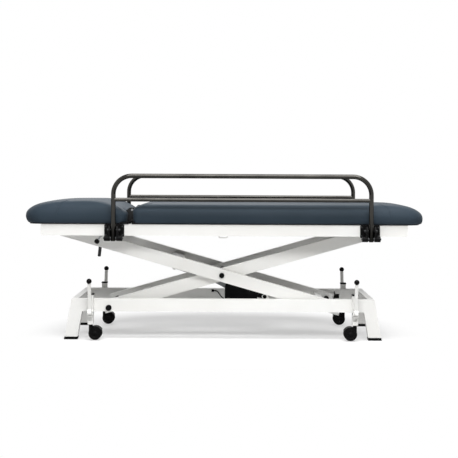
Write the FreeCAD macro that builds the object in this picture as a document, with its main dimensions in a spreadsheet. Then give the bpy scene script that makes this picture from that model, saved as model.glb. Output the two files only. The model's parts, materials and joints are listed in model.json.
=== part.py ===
"""Height-adjustable treatment table for children: scissor lift, fold-down side rails,
raising head section and lever-operated castors.

World frame in millimetres: +X runs along the table away from the head end, +Y across it
to the rear side, +Z up. The origin lies on the floor under the middle of the base.
"""
import FreeCAD
import Part
import math
import os
import re
import Sketcher

Vector = FreeCAD.Vector

# Driving dimensions. Angles are in degrees, everything else in millimetres.
SIZES = {
    # Base frame: rectangular tube, four splayed legs
    "baseLength": 1446, "baseWidth": 455, "baseTop": 194,
    "railTall": 60, "railDeep": 30, "railWall": 3, "legSplay": 9.8,
    "capHeight": 8, "capLip": 5, "capSkin": 1.5,
    "memberX": 247, "memberDeep": 30, "memberTall": 30,
    # Scissor arms and their pivots
    "pivotFromEnd": 178, "basePivotZ": 151.4, "topPivotZ": 520,
    "farFromEnd": 162.28, "armUpper": 795, "armTall": 60, "armDeep": 30, "armWall": 2.5,
    "armToRail": 7.5, "armToArm": 5, "armEnd": 34, "armTopEnd": 13,
    "angleLow": 8.5, "angleHigh": 27.3,
    "innerTieAt": 165, "innerTieWide": 34, "outerTieBack": 57, "outerTieWide": 34,
    "pushTieAt": 234.5, "pushTieWide": 60, "pushTieTall": 26, "tieTall": 30, "tieWall": 2.5,
    "pinRadius": 6, "shoulderRadius": 10, "fitGap": 0.05, "sideGap": 0.3, "pinProud": 0.5,
    "capRadius": 12.5, "bigCapRadius": 14, "capThick": 7.5,
    "rollerRadius": 14, "rollerWidth": 16, "rollerGap": 0.3, "trackSlack": 3,
    "stopLong": 26, "stopTall": 21, "stopDeep": 6.5, "stopPost": 4, "stopPostTall": 15,
    # Actuator between the base and the upper tie of the outer arms
    "motorPinX": 206, "motorPinZ": 181, "lugDrop": 42, "lugPlate": 5, "lugGap": 22,
    "lugRadius": 14, "footGap": 24, "footPlate": 6, "motorStart": 34, "motorEnd": 204,
    "motorAbove": 26, "motorBelow": 70, "motorWide": 76, "motorCut": 53, "motorRound": 9,
    "coneRadius": 23, "coneEnd": 247, "sleeveRadius": 15.5, "sleeveEnd": 360,
    "pistonRadius": 10, "pistonStart": 257, "eyeWide": 18, "eyeRadius": 10,
    # Castor corner: guide tube, sliding leg, castor, cam lever
    "guideFromEnd": 95.5, "guideWide": 26, "guideDeep": 30, "guideWall": 2.5,
    "guideBottom": 76, "guideTop": 216, "guideCapWide": 30, "guideCapTall": 6, "plugTall": 12,
    "earThick": 4, "earGap": 18.4, "camPinZ": 134, "camPinOut": 10.5, "camPinRadius": 4,
    "camPinLong": 32, "earTall": 28, "earOut": 17.5, "windowBottom": 94, "windowTop": 151,
    "slideWide": 20, "slideDeep": 19, "slideGap": 0.5, "slideBottom": 74, "slideTop": 190,
    "tongueThick": 6, "tongueWide": 17, "tongueOut": 26, "stemRadius": 5, "stemTop": 106,
    "wheelRadius": 31, "wheelLift": 3, "wheelWidth": 16, "wheelGap": 12, "webThick": 11, "trail": 22,
    "axleRadius": 4, "hoodInner": 31.8, "hoodOuter": 34, "hoodWide": 43, "stemBoss": 9,
    "stemBossTop": 71, "treadRound": 4, "hubRadius": 18, "hubDeep": 2,
    "leverLean": 13.7, "leverLong": 156.4, "leverThick": 6, "leverWide": 16,
    "knobRadius": 12.5, "knobSeat": 10.5, "camTip": 14.5, "camLobe": 28.5, "camNose": 3,
    # Top frame
    "topStartGap": 85.9, "topEndGap": 68.05, "topRailY": 275, "topRailTall": 54, "topRailDeep": 30,
    "topZ": 553.5, "topWall": 2, "liftRailTall": 40, "liftRailWall": 3,
    "crossLeftX": -405, "crossRightX": 400, "crossWide": 50, "crossTall": 13.5,
    "hookSpan": 40, "hookDrop": 9, "hookRadius": 2.5, "hookBend": 7, "hookX": 0,
    # Cushions and boards
    "cushionLeftX": -936, "cushionRightX": 946, "splitX": -438, "splitGap": 8, "cushionWide": 620,
    "boardThick": 10, "boardInset": 16, "boardSplitInset": 4, "wrapLip": 1.5, "wrapGap": 0.3,
    "bodyCushionTall": 80.5, "headCushionTall": 92.5,
    "cornerRadius": 80, "edgeRadius": 30, "notchSlope": 36.5,
    # Head section
    "headPivotZ": 618, "hingeY": 200, "hingePlate": 6, "hingeHalfGap": 0.3, "hingeBoss": 11,
    "hingePinRadius": 5, "hingeNear": 8, "hingeWide": 30, "slotWide": 20, "slotRun": 38,
    "slotTop": 632, "headRaise": 70, "headFrameEnd": 800, "headBarThick": 8, "headBarWide": 30,
    "headSideY": 244, "headTieX": -715,
    "springRootX": -480, "springRootZ": 499, "springTipZ": 535, "springRadius": 11,
    "springBodyStart": 12, "springBodyEnd": 195, "springBore": 38, "springRodRadius": 4.5,
    "springRodStart": 40, "springEye": 8, "springEyeWide": 12, "springPinRadius": 4,
    "springPlate": 4,
    # Release handle of the head section
    "releaseX": -553, "releaseZ": 530, "releaseRadius": 6, "releaseFar": 16,
    "crankY": 244, "crankX": -600, "crankZ": 469, "crankRadius": 4, "crankKnob": 12.5, "crankSeat": 10.5,
    "dropRadius": 4.5, "dropY": 21, "dropKneeX": -606, "dropKneeZ": 512, "dropEndX": -620,
    "dropEndZ": 384, "gripRadius": 8, "gripLong": 70,
    # Side rails and their clamps
    "sideRailY": 332.5, "postLeftX": -512, "postRightX": 690, "postRadius": 11, "postWall": 1.5,
    "postBottom": 477, "sideTopZ": 781, "sideBend": 85, "lowerTubeZ": 670, "lowerTubeRadius": 9,
    "foldZ": 490, "foldPinRadius": 5, "foldPinLong": 92, "collarRadius": 9, "collarThick": 3.4,
    "clampWide": 93, "clampTop": 553, "clampBottom": 494, "clampPlate": 5, "webGap": 30,
    "clampWeb": 8, "clampWebTop": 548, "lobeRadius": 13, "lobeLong": 27, "latchZ": 527,
    "latchRadius": 4, "latchLong": 60, "latchHead": 6.5, "latchHeadLong": 7,
    "screwRadius": 4, "screwHead": 2.5, "screwSpanX": 79, "screwSpanZ": 40,
    # Lead of the actuator
    "leadRadius": 3, "clipLong": 12, "clipX": -52, "clipDrop": 10, "glandY": 62, "glandLong": 14,
}

# Sizes that follow from the ones above, as formulas.
FORMULAS = {
    "railY": "baseWidth / 2 - railDeep / 2",
    "railInnerY": "baseWidth / 2 - railDeep",
    "mitreRun": "railTall / cos(legSplay) - railTall * tan(legSplay)",
    "memberZ": "baseTop - railTall + memberTall / 2",
    "basePivotX": "pivotFromEnd - baseLength / 2",
    "armLower": "(baseLength - pivotFromEnd - farFromEnd) / (2 * cos(angleLow))",
    "outerArmY": "railInnerY - armToRail - armDeep / 2",
    "innerArmY": "outerArmY - armDeep - armToArm",
    "outerTieAt": "armLower - outerTieBack",
    "liftAngle": "asin((topPivotZ - basePivotZ) / (armLower + armUpper))",
    "centreX": "basePivotX + armLower * cos(liftAngle)",
    "centreZ": "basePivotZ + armLower * sin(liftAngle)",
    "topPivotX": "centreX - armUpper * cos(liftAngle)",
    "upperRollerX": "centreX + armUpper * cos(liftAngle)",
    "lowerRollerX": "basePivotX + 2 * armLower * cos(liftAngle)",
    "lowerNearX": "basePivotX + 2 * armLower * cos(angleHigh)",
    "lowerFarX": "basePivotX + 2 * armLower * cos(angleLow)",
    "upperNearX": "topPivotX + 2 * armUpper * cos(angleHigh)",
    "upperFarX": "topPivotX + 2 * armUpper * cos(angleLow)",
    "topLeftX": "topPivotX - topStartGap",
    "topRightX": "upperFarX + topEndGap",
    "outerInside": "outerArmY - armDeep / 2",
    "outerOutside": "outerArmY + armDeep / 2",
    "innerInside": "innerArmY - armDeep / 2",
    "innerOutside": "innerArmY + armDeep / 2",
    "rollerInside": "railInnerY - 1.7",
    "lugX": "centreX - pushTieAt * cos(liftAngle) - lugDrop * sin(liftAngle)",
    "lugZ": "centreZ + pushTieAt * sin(liftAngle) - lugDrop * cos(liftAngle)",
    "pushAngle": "atan((lugZ - motorPinZ) / (motorPinX - lugX))",
    "pushLong": "(motorPinX - lugX) / cos(pushAngle)",
    "guideX": "baseLength / 2 - guideFromEnd",
    "guideY": "baseWidth / 2 + guideDeep / 2",
    "guideFace": "baseWidth / 2 + guideDeep",
    "slideShift": "guideDeep / 2 - guideWall - slideGap - slideDeep / 2",
    "tongueTop": "camPinZ - camTip - sideGap",
    "axleZ": "wheelRadius + wheelLift",
    "topRailBottom": "topZ - topRailTall",
    "topInnerY": "topRailY - topRailDeep / 2",
    "topOuterY": "topRailY + topRailDeep / 2",
    "cushionBottom": "topZ + boardThick",
    "headBarZ": "topZ - headBarThick / 2",
    "springAngle": "atan((springTipZ - springRootZ) / (springRootX - headTieX))",
    "springLong": "(springRootX - headTieX) / cos(springAngle)",
    "crankAngle": "atan((releaseX - crankX) / (releaseZ - crankZ))",
    "crankLong": "(releaseZ - crankZ) / cos(crankAngle)",
}

doc = FreeCAD.newDocument("TreatmentTable")
sheet = doc.addObject("Spreadsheet::Sheet", "Sizes")
for number, (word, size) in enumerate(SIZES.items(), 1):
    sheet.set("A%d" % number, word)
    sheet.set("B%d" % number, str(size))
    sheet.setAlias("B%d" % number, word)
doc.recompute()

nodes = {}


def bound(text):
    """A formula in plain size words as an expression on the sheet."""
    def swap(match):
        word = match.group(0)
        if word in SIZES:
            return "Sizes." + word
        if word in FORMULAS:
            return "(" + bound(FORMULAS[word]) + ")"
        return word
    return re.sub(r"[A-Za-z_][A-Za-z_0-9]*", swap, str(text))


def value(text):
    result = sheet.evalExpression(bound(text))
    return float(getattr(result, "Value", result))


def bind(thing, **formulas):
    for name, text in formulas.items():
        thing.setExpression(name.replace("__", "."), bound(text))


def place(thing, x="0", y="0", z="0", axis=None, angle=None):
    """Puts a piece where the formulas say, turned about an axis through its own origin."""
    if angle is not None:
        thing.Placement = FreeCAD.Placement(Vector(), FreeCAD.Rotation(axis, 1))
        bind(thing, Placement__Rotation__Angle=angle)
    bind(thing, Placement__Base__x=x, Placement__Base__y=y, Placement__Base__z=z)
    return thing


def keep(name, thing):
    """Marks an object as a sub-part that is written to its own file."""
    thing.Label = name
    nodes[name] = thing
    return thing


# Solid bodies with sketches

def new_body(name):
    return doc.addObject("PartDesign::Body", name)


def new_sketch(body, plane, offset="0"):
    sketch = body.newObject("Sketcher::SketchObject", body.Name + "_sketch")
    flat = [entry for entry in body.Origin.OriginFeatures if entry.Role == plane][0]
    sketch.AttachmentSupport = [(flat, "")]
    sketch.MapMode = "FlatFace"
    bind(sketch, AttachmentOffset__Base__z=offset)
    return sketch


def tie(sketch, kind, geometry, point, text):
    spot = sketch.addConstraint(Sketcher.Constraint(kind, -1, 1, geometry, point, value(text)))
    sketch.setExpression("Constraints[%d]" % spot, bound(text))


def outline(sketch, points):
    """A closed outline whose corners are tied to the sheet one by one."""
    first = sketch.GeometryCount
    spots = [Vector(value(x), value(y), 0) for x, y in points]
    count = len(spots)
    for index in range(count):
        sketch.addGeometry(Part.LineSegment(spots[index], spots[(index + 1) % count]), False)
    for index, (x, y) in enumerate(points):
        after = first + (index + 1) % count
        sketch.addConstraint(Sketcher.Constraint("Coincident", first + index, 2, after, 1))
        tie(sketch, "DistanceX", first + index, 1, x)
        tie(sketch, "DistanceY", first + index, 1, y)


def rectangle(sketch, wide, tall, x="0", y="0"):
    left, right = "%s - (%s) / 2" % (x, wide), "%s + (%s) / 2" % (x, wide)
    low, high = "%s - (%s) / 2" % (y, tall), "%s + (%s) / 2" % (y, tall)
    outline(sketch, [(left, low), (right, low), (right, high), (left, high)])


def ring(sketch, wide, tall, wall):
    rectangle(sketch, wide, tall)
    rectangle(sketch, "%s - 2 * %s" % (wide, wall), "%s - 2 * %s" % (tall, wall))


def circle(sketch, radius, x="0", y="0"):
    spot = Vector(value(x), value(y), 0)
    geometry = sketch.addGeometry(Part.Circle(spot, Vector(0, 0, 1), value(radius)), False)
    size = sketch.addConstraint(Sketcher.Constraint("Radius", geometry, value(radius)))
    sketch.setExpression("Constraints[%d]" % size, bound(radius))
    tie(sketch, "DistanceX", geometry, 3, x)
    tie(sketch, "DistanceY", geometry, 3, y)


def pad(body, sketch, length):
    """Material to both sides of the sketch, the given length in all."""
    feature = body.newObject("PartDesign::Pad", body.Name + "_pad")
    feature.Profile = sketch
    feature.Midplane = True
    bind(feature, Length=length)
    body.Tip = feature
    return feature


def pocket(body, sketch, length):
    """A cut to both sides of the sketch, the given length in all."""
    feature = body.newObject("PartDesign::Pocket", body.Name + "_pocket")
    feature.Profile = sketch
    feature.Midplane = True
    bind(feature, Length=length)
    body.Tip = feature
    return feature


def revolve(body, sketch, axis="H_Axis"):
    feature = body.newObject("PartDesign::Revolution", body.Name + "_turn")
    feature.Profile = sketch
    feature.ReferenceAxis = (sketch, [axis])
    feature.Angle = 360
    body.Tip = feature
    return feature


def round_edges(body, picked, radius):
    """Rounds the edges of the last feature that the test picks."""
    doc.recompute()
    base = body.Tip
    names = ["Edge%d" % (i + 1) for i, edge in enumerate(base.Shape.Edges) if picked(edge)]
    feature = body.newObject("PartDesign::Fillet", body.Name + "_round")
    feature.Base = (base, names)
    bind(feature, Radius=radius)
    body.Tip = feature
    return feature


def runs_along(edge, letter):
    """True for a straight edge that runs along one axis of its body."""
    box = edge.BoundBox
    spans = {"x": box.XLength, "y": box.YLength, "z": box.ZLength}
    others = [size for name, size in spans.items() if name != letter]
    return spans[letter] > 0.1 and max(others) < 1e-4


def slab(name, outline_points, thick, plane="XZ_Plane", offset="0"):
    """A flat piece: an outline made thick to both sides of its plane."""
    body = new_body(name)
    sketch = new_sketch(body, plane, offset)
    outline(sketch, outline_points)
    pad(body, sketch, thick)
    return body


def box_corners(wide, tall, x="0", y="0"):
    left, right = "%s - (%s) / 2" % (x, wide), "%s + (%s) / 2" % (x, wide)
    low, high = "%s - (%s) / 2" % (y, tall), "%s + (%s) / 2" % (y, tall)
    return [(left, low), (right, low), (right, high), (left, high)]


def tube(name, plane, wide, tall, wall, length, offset="0"):
    """A rectangular hollow section, square to the plane and centred on it."""
    body = new_body(name)
    sketch = new_sketch(body, plane, offset)
    ring(sketch, wide, tall, wall)
    pad(body, sketch, length)
    return body


# Plain solids

TURN = {"x": (Vector(0, 1, 0), "90"), "y": (Vector(1, 0, 0), "-90"), "z": (None, None)}


def rod(name, radius, length, along, x="0", y="0", z="0"):
    """A round bar from a point, along one world axis."""
    thing = doc.addObject("Part::Cylinder", name)
    bind(thing, Radius=radius, Height=length)
    axis, angle = TURN[along]
    return place(thing, x, y, z, axis, angle)


def fused(name, *members):
    thing = doc.addObject("Part::MultiFuse", name)
    thing.Shapes = list(members)
    return thing


def without(name, base, *tools):
    thing = doc.addObject("Part::Cut", name)
    thing.Base = base
    thing.Tool = tools[0] if len(tools) == 1 else fused(name + "_tools", *tools)
    return thing


def group(name, *members):
    """Separate solids that share one node."""
    thing = doc.addObject("Part::Compound", name)
    thing.Links = list(members)
    return keep(name, thing)


def mirrored(source, normal):
    thing = doc.addObject("Part::Mirroring", source.Name + "_mirror")
    thing.Source = source
    thing.Normal = normal
    return thing


def both_sides(source):
    """The front piece and its mirror image on the rear side."""
    return [source, mirrored(source, Vector(0, 1, 0))]


def four_corners(source):
    """Front left, front right, rear left and rear right, from the front left one."""
    right = mirrored(source, Vector(1, 0, 0))
    return [source, right, mirrored(source, Vector(0, 1, 0)), mirrored(right, Vector(0, 1, 0))]


CORNERS = ["front_left", "front_right", "rear_left", "rear_right"]


def keep_corners(stem, source):
    for corner, thing in zip(CORNERS, four_corners(source)):
        keep("%s_%s" % (stem, corner), thing)


def pin_set(name, x, z, start, end, shoulder_start, shoulder_end):
    """A pivot pin along Y on the front side with a spacing shoulder, from two distances out."""
    shaft = rod(name + "_shaft", "pinRadius", "%s - (%s)" % (end, start), "y", x, "-(%s)" % end, z)
    collar = rod(name + "_collar", "shoulderRadius", "%s - (%s)" % (shoulder_end, shoulder_start),
                 "y", x, "-(%s)" % shoulder_end, z)
    return fused(name, shaft, collar)


def end_cap(name, radius, x, z, out):
    """A round cover on the front side that starts a distance out from the middle."""
    return rod(name, radius, "capThick", "y", x, "-(%s) - capThick" % out, z)


# Base frame

def base_rail():
    body = tube("base_rail", "YZ_Plane", "railDeep", "railTall", "railWall", "baseLength")
    half, low = "baseLength / 2", "-railTall / 2"
    for sign in ("", "-"):
        mitre = new_sketch(body, "XZ_Plane")
        step = "mitreRun / railTall"
        outline(mitre, [("%s(%s + %s)" % (sign, half, step), "railTall / 2 + 1"),
                        ("%s(%s - mitreRun - %s)" % (sign, half, step), low + " - 1"),
                        ("%s(%s + %s)" % (sign, half, step), low + " - 1")])
        pocket(body, mitre, "railDeep * 2")
    slot = new_sketch(body, "XZ_Plane", "railWall / 2 - railDeep / 2")
    near = "lowerNearX - rollerRadius - trackSlack"
    far = "lowerFarX + rollerRadius + trackSlack"
    track = "rollerRadius + rollerGap"
    level = "basePivotZ - baseTop + railTall / 2"
    outline(slot, [(near, "%s - (%s)" % (level, track)), (far, "%s - (%s)" % (level, track)),
                   (far, "%s + %s" % (level, track)), (near, "%s + %s" % (level, track))])
    pocket(body, slot, "railWall * 1.5")
    bore = new_sketch(body, "XZ_Plane")
    circle(bore, "pinRadius + fitGap", "basePivotX", level)
    pocket(body, bore, "railDeep * 2")
    return place(body, y="-railY", z="baseTop - railTall / 2")


def base_leg():
    """A splayed leg, mitred to the rail's end, hollow and open at the foot."""
    def edge(height, inward):
        return "-baseLength / 2 - (baseTop - (%s)) * tan(legSplay) + (%s) / cos(legSplay)" \
            % (height, inward)
    side = [("-baseLength / 2", "baseTop"), ("-baseLength / 2 + mitreRun", "baseTop - railTall"),
            (edge("capHeight", "railTall"), "capHeight"), (edge("capHeight", "0"), "capHeight")]
    body = slab("base_leg", side, "railDeep")
    hollow = new_sketch(body, "XZ_Plane")
    low, high = "capHeight - 1", "baseTop + 1"
    outline(hollow, [(edge(low, "railWall"), low), (edge(low, "railTall - railWall"), low),
                     (edge(high, "railTall - railWall"), high), (edge(high, "railWall"), high)])
    pocket(body, hollow, "railDeep - 2 * railWall")
    place(body, y="-railY")

    top = "capHeight + capLip"
    skin = "capSkin * cos(legSplay)"
    shoe = slab("foot_cap", [(edge("0", "-(%s)" % skin), "0"), (edge("0", "railTall + %s" % skin), "0"),
                             (edge(top, "railTall + %s" % skin), top),
                             (edge(top, "-(%s)" % skin), top)], "railDeep + 2 * capSkin")
    seat = new_sketch(shoe, "XZ_Plane")
    high = top + " + 1"
    outline(seat, [(edge("capHeight", "0"), "capHeight"),
                   (edge("capHeight", "railTall"), "capHeight"),
                   (edge(high, "railTall"), high), (edge(high, "0"), high)])
    pocket(shoe, seat, "railDeep")
    place(shoe, y="-railY")
    return body, shoe


def base_frame():
    rails = both_sides(base_rail())
    end = tube("base_end", "XZ_Plane", "railDeep", "railTall", "railWall", "2 * railInnerY")
    place(end, "-baseLength / 2 + railDeep / 2", "0", "baseTop - railTall / 2")
    member = tube("base_member", "XZ_Plane", "memberDeep", "memberTall", "railWall",
                  "2 * railInnerY")
    place(member, "memberX", "0", "memberZ")
    face = "memberX - memberDeep / 2"
    ear = slab("base_clevis", [
        (face, "memberZ - memberTall / 2"), (face, "memberZ + memberTall / 2"),
        ("motorPinX + 12", "motorPinZ + 10"), ("motorPinX", "motorPinZ + 14"),
        ("motorPinX - 14", "motorPinZ + 4"), ("motorPinX - 14", "motorPinZ - 6")], "footPlate")
    bore = new_sketch(ear, "XZ_Plane")
    circle(bore, "pinRadius + fitGap", "motorPinX", "motorPinZ")
    pocket(ear, bore, "footPlate * 3")
    place(ear, y="-footGap / 2 - footPlate / 2")
    group("base_frame", *rails, *[end, mirrored(end, Vector(1, 0, 0)), member], *both_sides(ear))
    leg, shoe = base_leg()
    group("base_legs", *four_corners(leg))
    group("foot_caps", *four_corners(shoe))


def base_details():
    bolt = pin_set("base_pivot", "basePivotX", "basePivotZ", "innerInside - pinProud",
                   "baseWidth / 2", "innerOutside + sideGap", "railInnerY - sideGap")
    clevis_pin = rod("clevis_pin", "pinRadius", "footGap + 2 * footPlate", "y",
                     "motorPinX", "-footGap / 2 - footPlate", "motorPinZ")
    group("base_pins", *both_sides(bolt), clevis_pin)
    outer = end_cap("pivot_cap_outer", "bigCapRadius", "basePivotX", "basePivotZ", "baseWidth / 2")
    inner = rod("pivot_cap_inner", "capRadius", "capThick", "y", "basePivotX",
                "-innerInside + pinProud", "basePivotZ")
    cap = rod("clevis_cap", "capRadius - 3", "4", "y", "motorPinX",
              "-footGap / 2 - footPlate - 4", "motorPinZ")
    group("base_pivot_caps", *both_sides(outer), *both_sides(inner), *both_sides(cap))

    stop = slab("travel_stop", [
        ("0", "0"), ("stopLong", "0"), ("stopLong", "stopTall"), ("stopPost", "stopTall"),
        ("stopPost", "stopTall + stopPostTall"), ("0", "stopTall + stopPostTall")], "stopDeep")
    place(stop, "lowerFarX + shoulderRadius + trackSlack + 1", "-railInnerY + stopDeep / 2",
          "basePivotZ - stopTall / 5")
    group("travel_stops", *both_sides(stop))


# Castor corners, drawn at the front left one

def castor_guide():
    body = tube("castor_guide", "XY_Plane", "guideWide", "guideDeep", "guideWall",
                "guideTop - guideBottom", "(guideTop + guideBottom) / 2")
    window = new_sketch(body, "XZ_Plane", "guideDeep / 2 - guideWall / 2")
    rectangle(window, "earGap", "windowTop - windowBottom", "0", "(windowTop + windowBottom) / 2")
    pocket(body, window, "guideWall * 1.5")
    face = "-guideDeep / 2"
    low, high = "camPinZ - earTall / 2", "camPinZ + earTall / 2"
    for sign in ("", "-"):
        ear = new_sketch(body, "YZ_Plane", "%s(earGap / 2 + earThick / 2)" % sign)
        out = "-guideDeep / 2 - earOut"
        outline(ear, [(face, low), (out + " + 5", low), (out, low + " + 6"), (out, high + " - 6"),
                      (out + " + 5", high), (face, high)])
        pad(body, ear, "earThick")
    bore = new_sketch(body, "YZ_Plane")
    circle(bore, "camPinRadius + fitGap", "-guideDeep / 2 - camPinOut", "camPinZ")
    pocket(body, bore, "guideWide * 2")
    place(body, "-guideX", "-guideY")
    group("castor_guides", *four_corners(body))

    plug = new_body("guide_cap")
    head = new_sketch(plug, "XY_Plane", "guideTop + guideCapTall / 2")
    rectangle(head, "guideCapWide", "guideDeep + guideCapWide - guideWide")
    pad(plug, head, "guideCapTall")
    round_edges(plug, lambda edge: runs_along(edge, "z"), "guideCapWide / 10")
    stem = new_sketch(plug, "XY_Plane", "guideTop - plugTall / 2")
    rectangle(stem, "guideWide - 2 * guideWall - slideGap", "guideDeep - 2 * guideWall - slideGap")
    pad(plug, stem, "plugTall")
    place(plug, "-guideX", "-guideY")
    group("guide_caps", *four_corners(plug))

    pin = rod("lever_pin", "camPinRadius", "camPinLong", "x", "-guideX - camPinLong / 2",
              "-guideFace - camPinOut", "camPinZ")
    nodes["base_pins"].Links = nodes["base_pins"].Links + four_corners(pin)


def castor_slide():
    """The sliding leg inside the guide; its tongue lies under the lever's cam."""
    body = new_body("castor_slide")
    bar = new_sketch(body, "XY_Plane", "(slideTop + slideBottom) / 2")
    rectangle(bar, "slideWide", "slideDeep", "0", "slideShift")
    pad(body, bar, "slideTop - slideBottom")
    tongue = new_sketch(body, "XZ_Plane", "slideDeep / 2 - slideShift + tongueOut / 2")
    rectangle(tongue, "tongueWide", "tongueThick", "0", "tongueTop - tongueThick / 2")
    pad(body, tongue, "tongueOut")
    bore = new_sketch(body, "XY_Plane", "(stemTop + slideBottom) / 2")
    circle(bore, "stemRadius + fitGap", "0", "slideShift")
    pocket(body, bore, "stemTop - slideBottom + 4")
    place(body, "-guideX", "-guideY")
    keep_corners("castor_leg", body)


def castor_hood():
    """The swivelling housing: stem, boss, web between the wheels and mudguard over them."""
    body = new_body("castor_hood")
    web = new_sketch(body, "XZ_Plane")
    outline(web, [("-stemBoss", "axleZ - 12"), ("trail - 4", "axleZ - 12"),
                  ("trail + 14", "axleZ - 6"), ("trail + 14", "axleZ + 12"),
                  ("trail + 2", "axleZ + wheelRadius - 6"), ("stemBoss", "stemBossTop - 3"),
                  ("-stemBoss", "stemBossTop - 3")])
    pad(body, web, "webThick")
    guard = new_sketch(body, "XZ_Plane")
    spots = []
    for radius, turns in (("hoodOuter", range(0, 9)), ("hoodInner", range(8, -1, -1))):
        for turn in turns:
            angle = 25 + 15 * turn
            spots.append(("trail + %s * cos(%d)" % (radius, angle),
                          "axleZ + %s * sin(%d)" % (radius, angle)))
    outline(guard, spots)
    pad(body, guard, "hoodWide")
    boss = new_sketch(body, "XY_Plane", "(stemBossTop + axleZ) / 2")
    circle(boss, "stemBoss")
    pad(body, boss, "stemBossTop - axleZ")
    stem = new_sketch(body, "XY_Plane", "(stemTop - 4 + axleZ) / 2")
    circle(stem, "stemRadius")
    pad(body, stem, "stemTop - 4 - axleZ")
    collar = new_sketch(body, "XY_Plane", "(stemBossTop + slideBottom - sideGap) / 2")
    circle(collar, "stemBoss - 2")
    pad(body, collar, "slideBottom - sideGap - stemBossTop")
    for sign in ("", "-"):
        clear = new_sketch(body, "XZ_Plane",
                           "%s(wheelGap / 2 + wheelWidth / 2)" % sign)
        circle(clear, "hoodInner", "trail", "axleZ")
        pocket(body, clear, "wheelWidth + (wheelGap - webThick)")
    bore = new_sketch(body, "XZ_Plane")
    circle(bore, "axleRadius + fitGap", "trail", "axleZ")
    pocket(body, bore, "webThick * 2")
    place(body, "-guideX", "-guideY + slideShift")
    keep_corners("castor_hood", body)


def castor_wheels():
    """Two wheels and their axle, turned as one profile about the axle."""
    body = new_body("castor_wheels")
    profile = new_sketch(body, "YZ_Plane")
    far, near = "(wheelGap / 2 + wheelWidth)", "(wheelGap / 2)"
    shoulder = "wheelRadius - treadRound"
    half = [("%s - hubDeep" % far, "0"), ("%s - hubDeep" % far, "hubRadius"),
            (far, "hubRadius + hubDeep"), (far, shoulder), ("%s - treadRound / 3" % far,
            "wheelRadius - treadRound / 3"), ("%s - treadRound" % far, "wheelRadius"),
            ("%s + treadRound" % near, "wheelRadius"),
            (near, shoulder), (near, "axleRadius")]
    other = [("-(%s)" % x, y) for x, y in reversed(half)]
    outline(profile, half + other)
    revolve(body, profile)
    place(body, "-guideX + trail", "-guideY + slideShift", "axleZ")
    keep_corners("castor_wheels", body)


def castor_lever():
    """Lever bar with its cam: the lobe swings under the pin and pushes the leg down."""
    along = ("-(%s) * sin(leverLean)", "(%s) * cos(leverLean)")

    def spot(distance, inward):
        return (along[0] % distance + " + (%s) * cos(leverLean)" % inward,
                along[1] % distance + " + (%s) * sin(leverLean)" % inward)

    end, start, half = "leverLong - knobSeat", "camTip + 1.5", "leverThick / 2"
    body = slab("castor_lever", [
        spot(end, half), spot(end, "-" + half), spot(start, "-" + half),
        ("-camLobe", "camNose"), ("-camLobe", "-camNose"), ("0", "-camTip"),
        ("camTip / 2", "0"), spot(start, half)], "leverWide", "YZ_Plane")
    bore = new_sketch(body, "YZ_Plane")
    circle(bore, "camPinRadius + fitGap")
    pocket(body, bore, "leverWide * 2")
    place(body, "-guideX", "-guideFace - camPinOut", "camPinZ")
    keep_corners("castor_lever", body)

    ball = doc.addObject("Part::Sphere", "castor_knob")
    bind(ball, Radius="knobRadius", Angle1="-asin(knobSeat / knobRadius)")
    place(ball, "-guideX", "-guideFace - camPinOut - leverLong * sin(leverLean)",
          "camPinZ + leverLong * cos(leverLean)", Vector(1, 0, 0), "leverLean")
    keep_corners("castor_knob", ball)


# Scissor arms

def arm(name, low_end, high_end, bores):
    """An arm along its own X, from one end to the other, with pivot bores at given places."""
    body = new_body(name)
    middle, length = "((%s) - (%s)) / 2" % (high_end, low_end), "%s + %s" % (high_end, low_end)
    section = new_sketch(body, "YZ_Plane", middle)
    ring(section, "armDeep", "armTall", "armWall")
    pad(body, section, length)
    for spot in bores:
        bore = new_sketch(body, "XZ_Plane")
        circle(bore, "pinRadius + fitGap", spot, "0")
        pocket(body, bore, "armDeep * 2")
    return body


def cross_tie(name, spot, wide, tall, half_width):
    """A tie between a pair of arms, across them at a place along the arm."""
    body = new_body(name)
    section = new_sketch(body, "XZ_Plane")
    rectangle(section, wide, tall, spot)
    rectangle(section, "%s - 2 * tieWall" % wide, "%s - 2 * tieWall" % tall, spot)
    pad(body, section, "2 * (%s)" % half_width)
    return body


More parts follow.
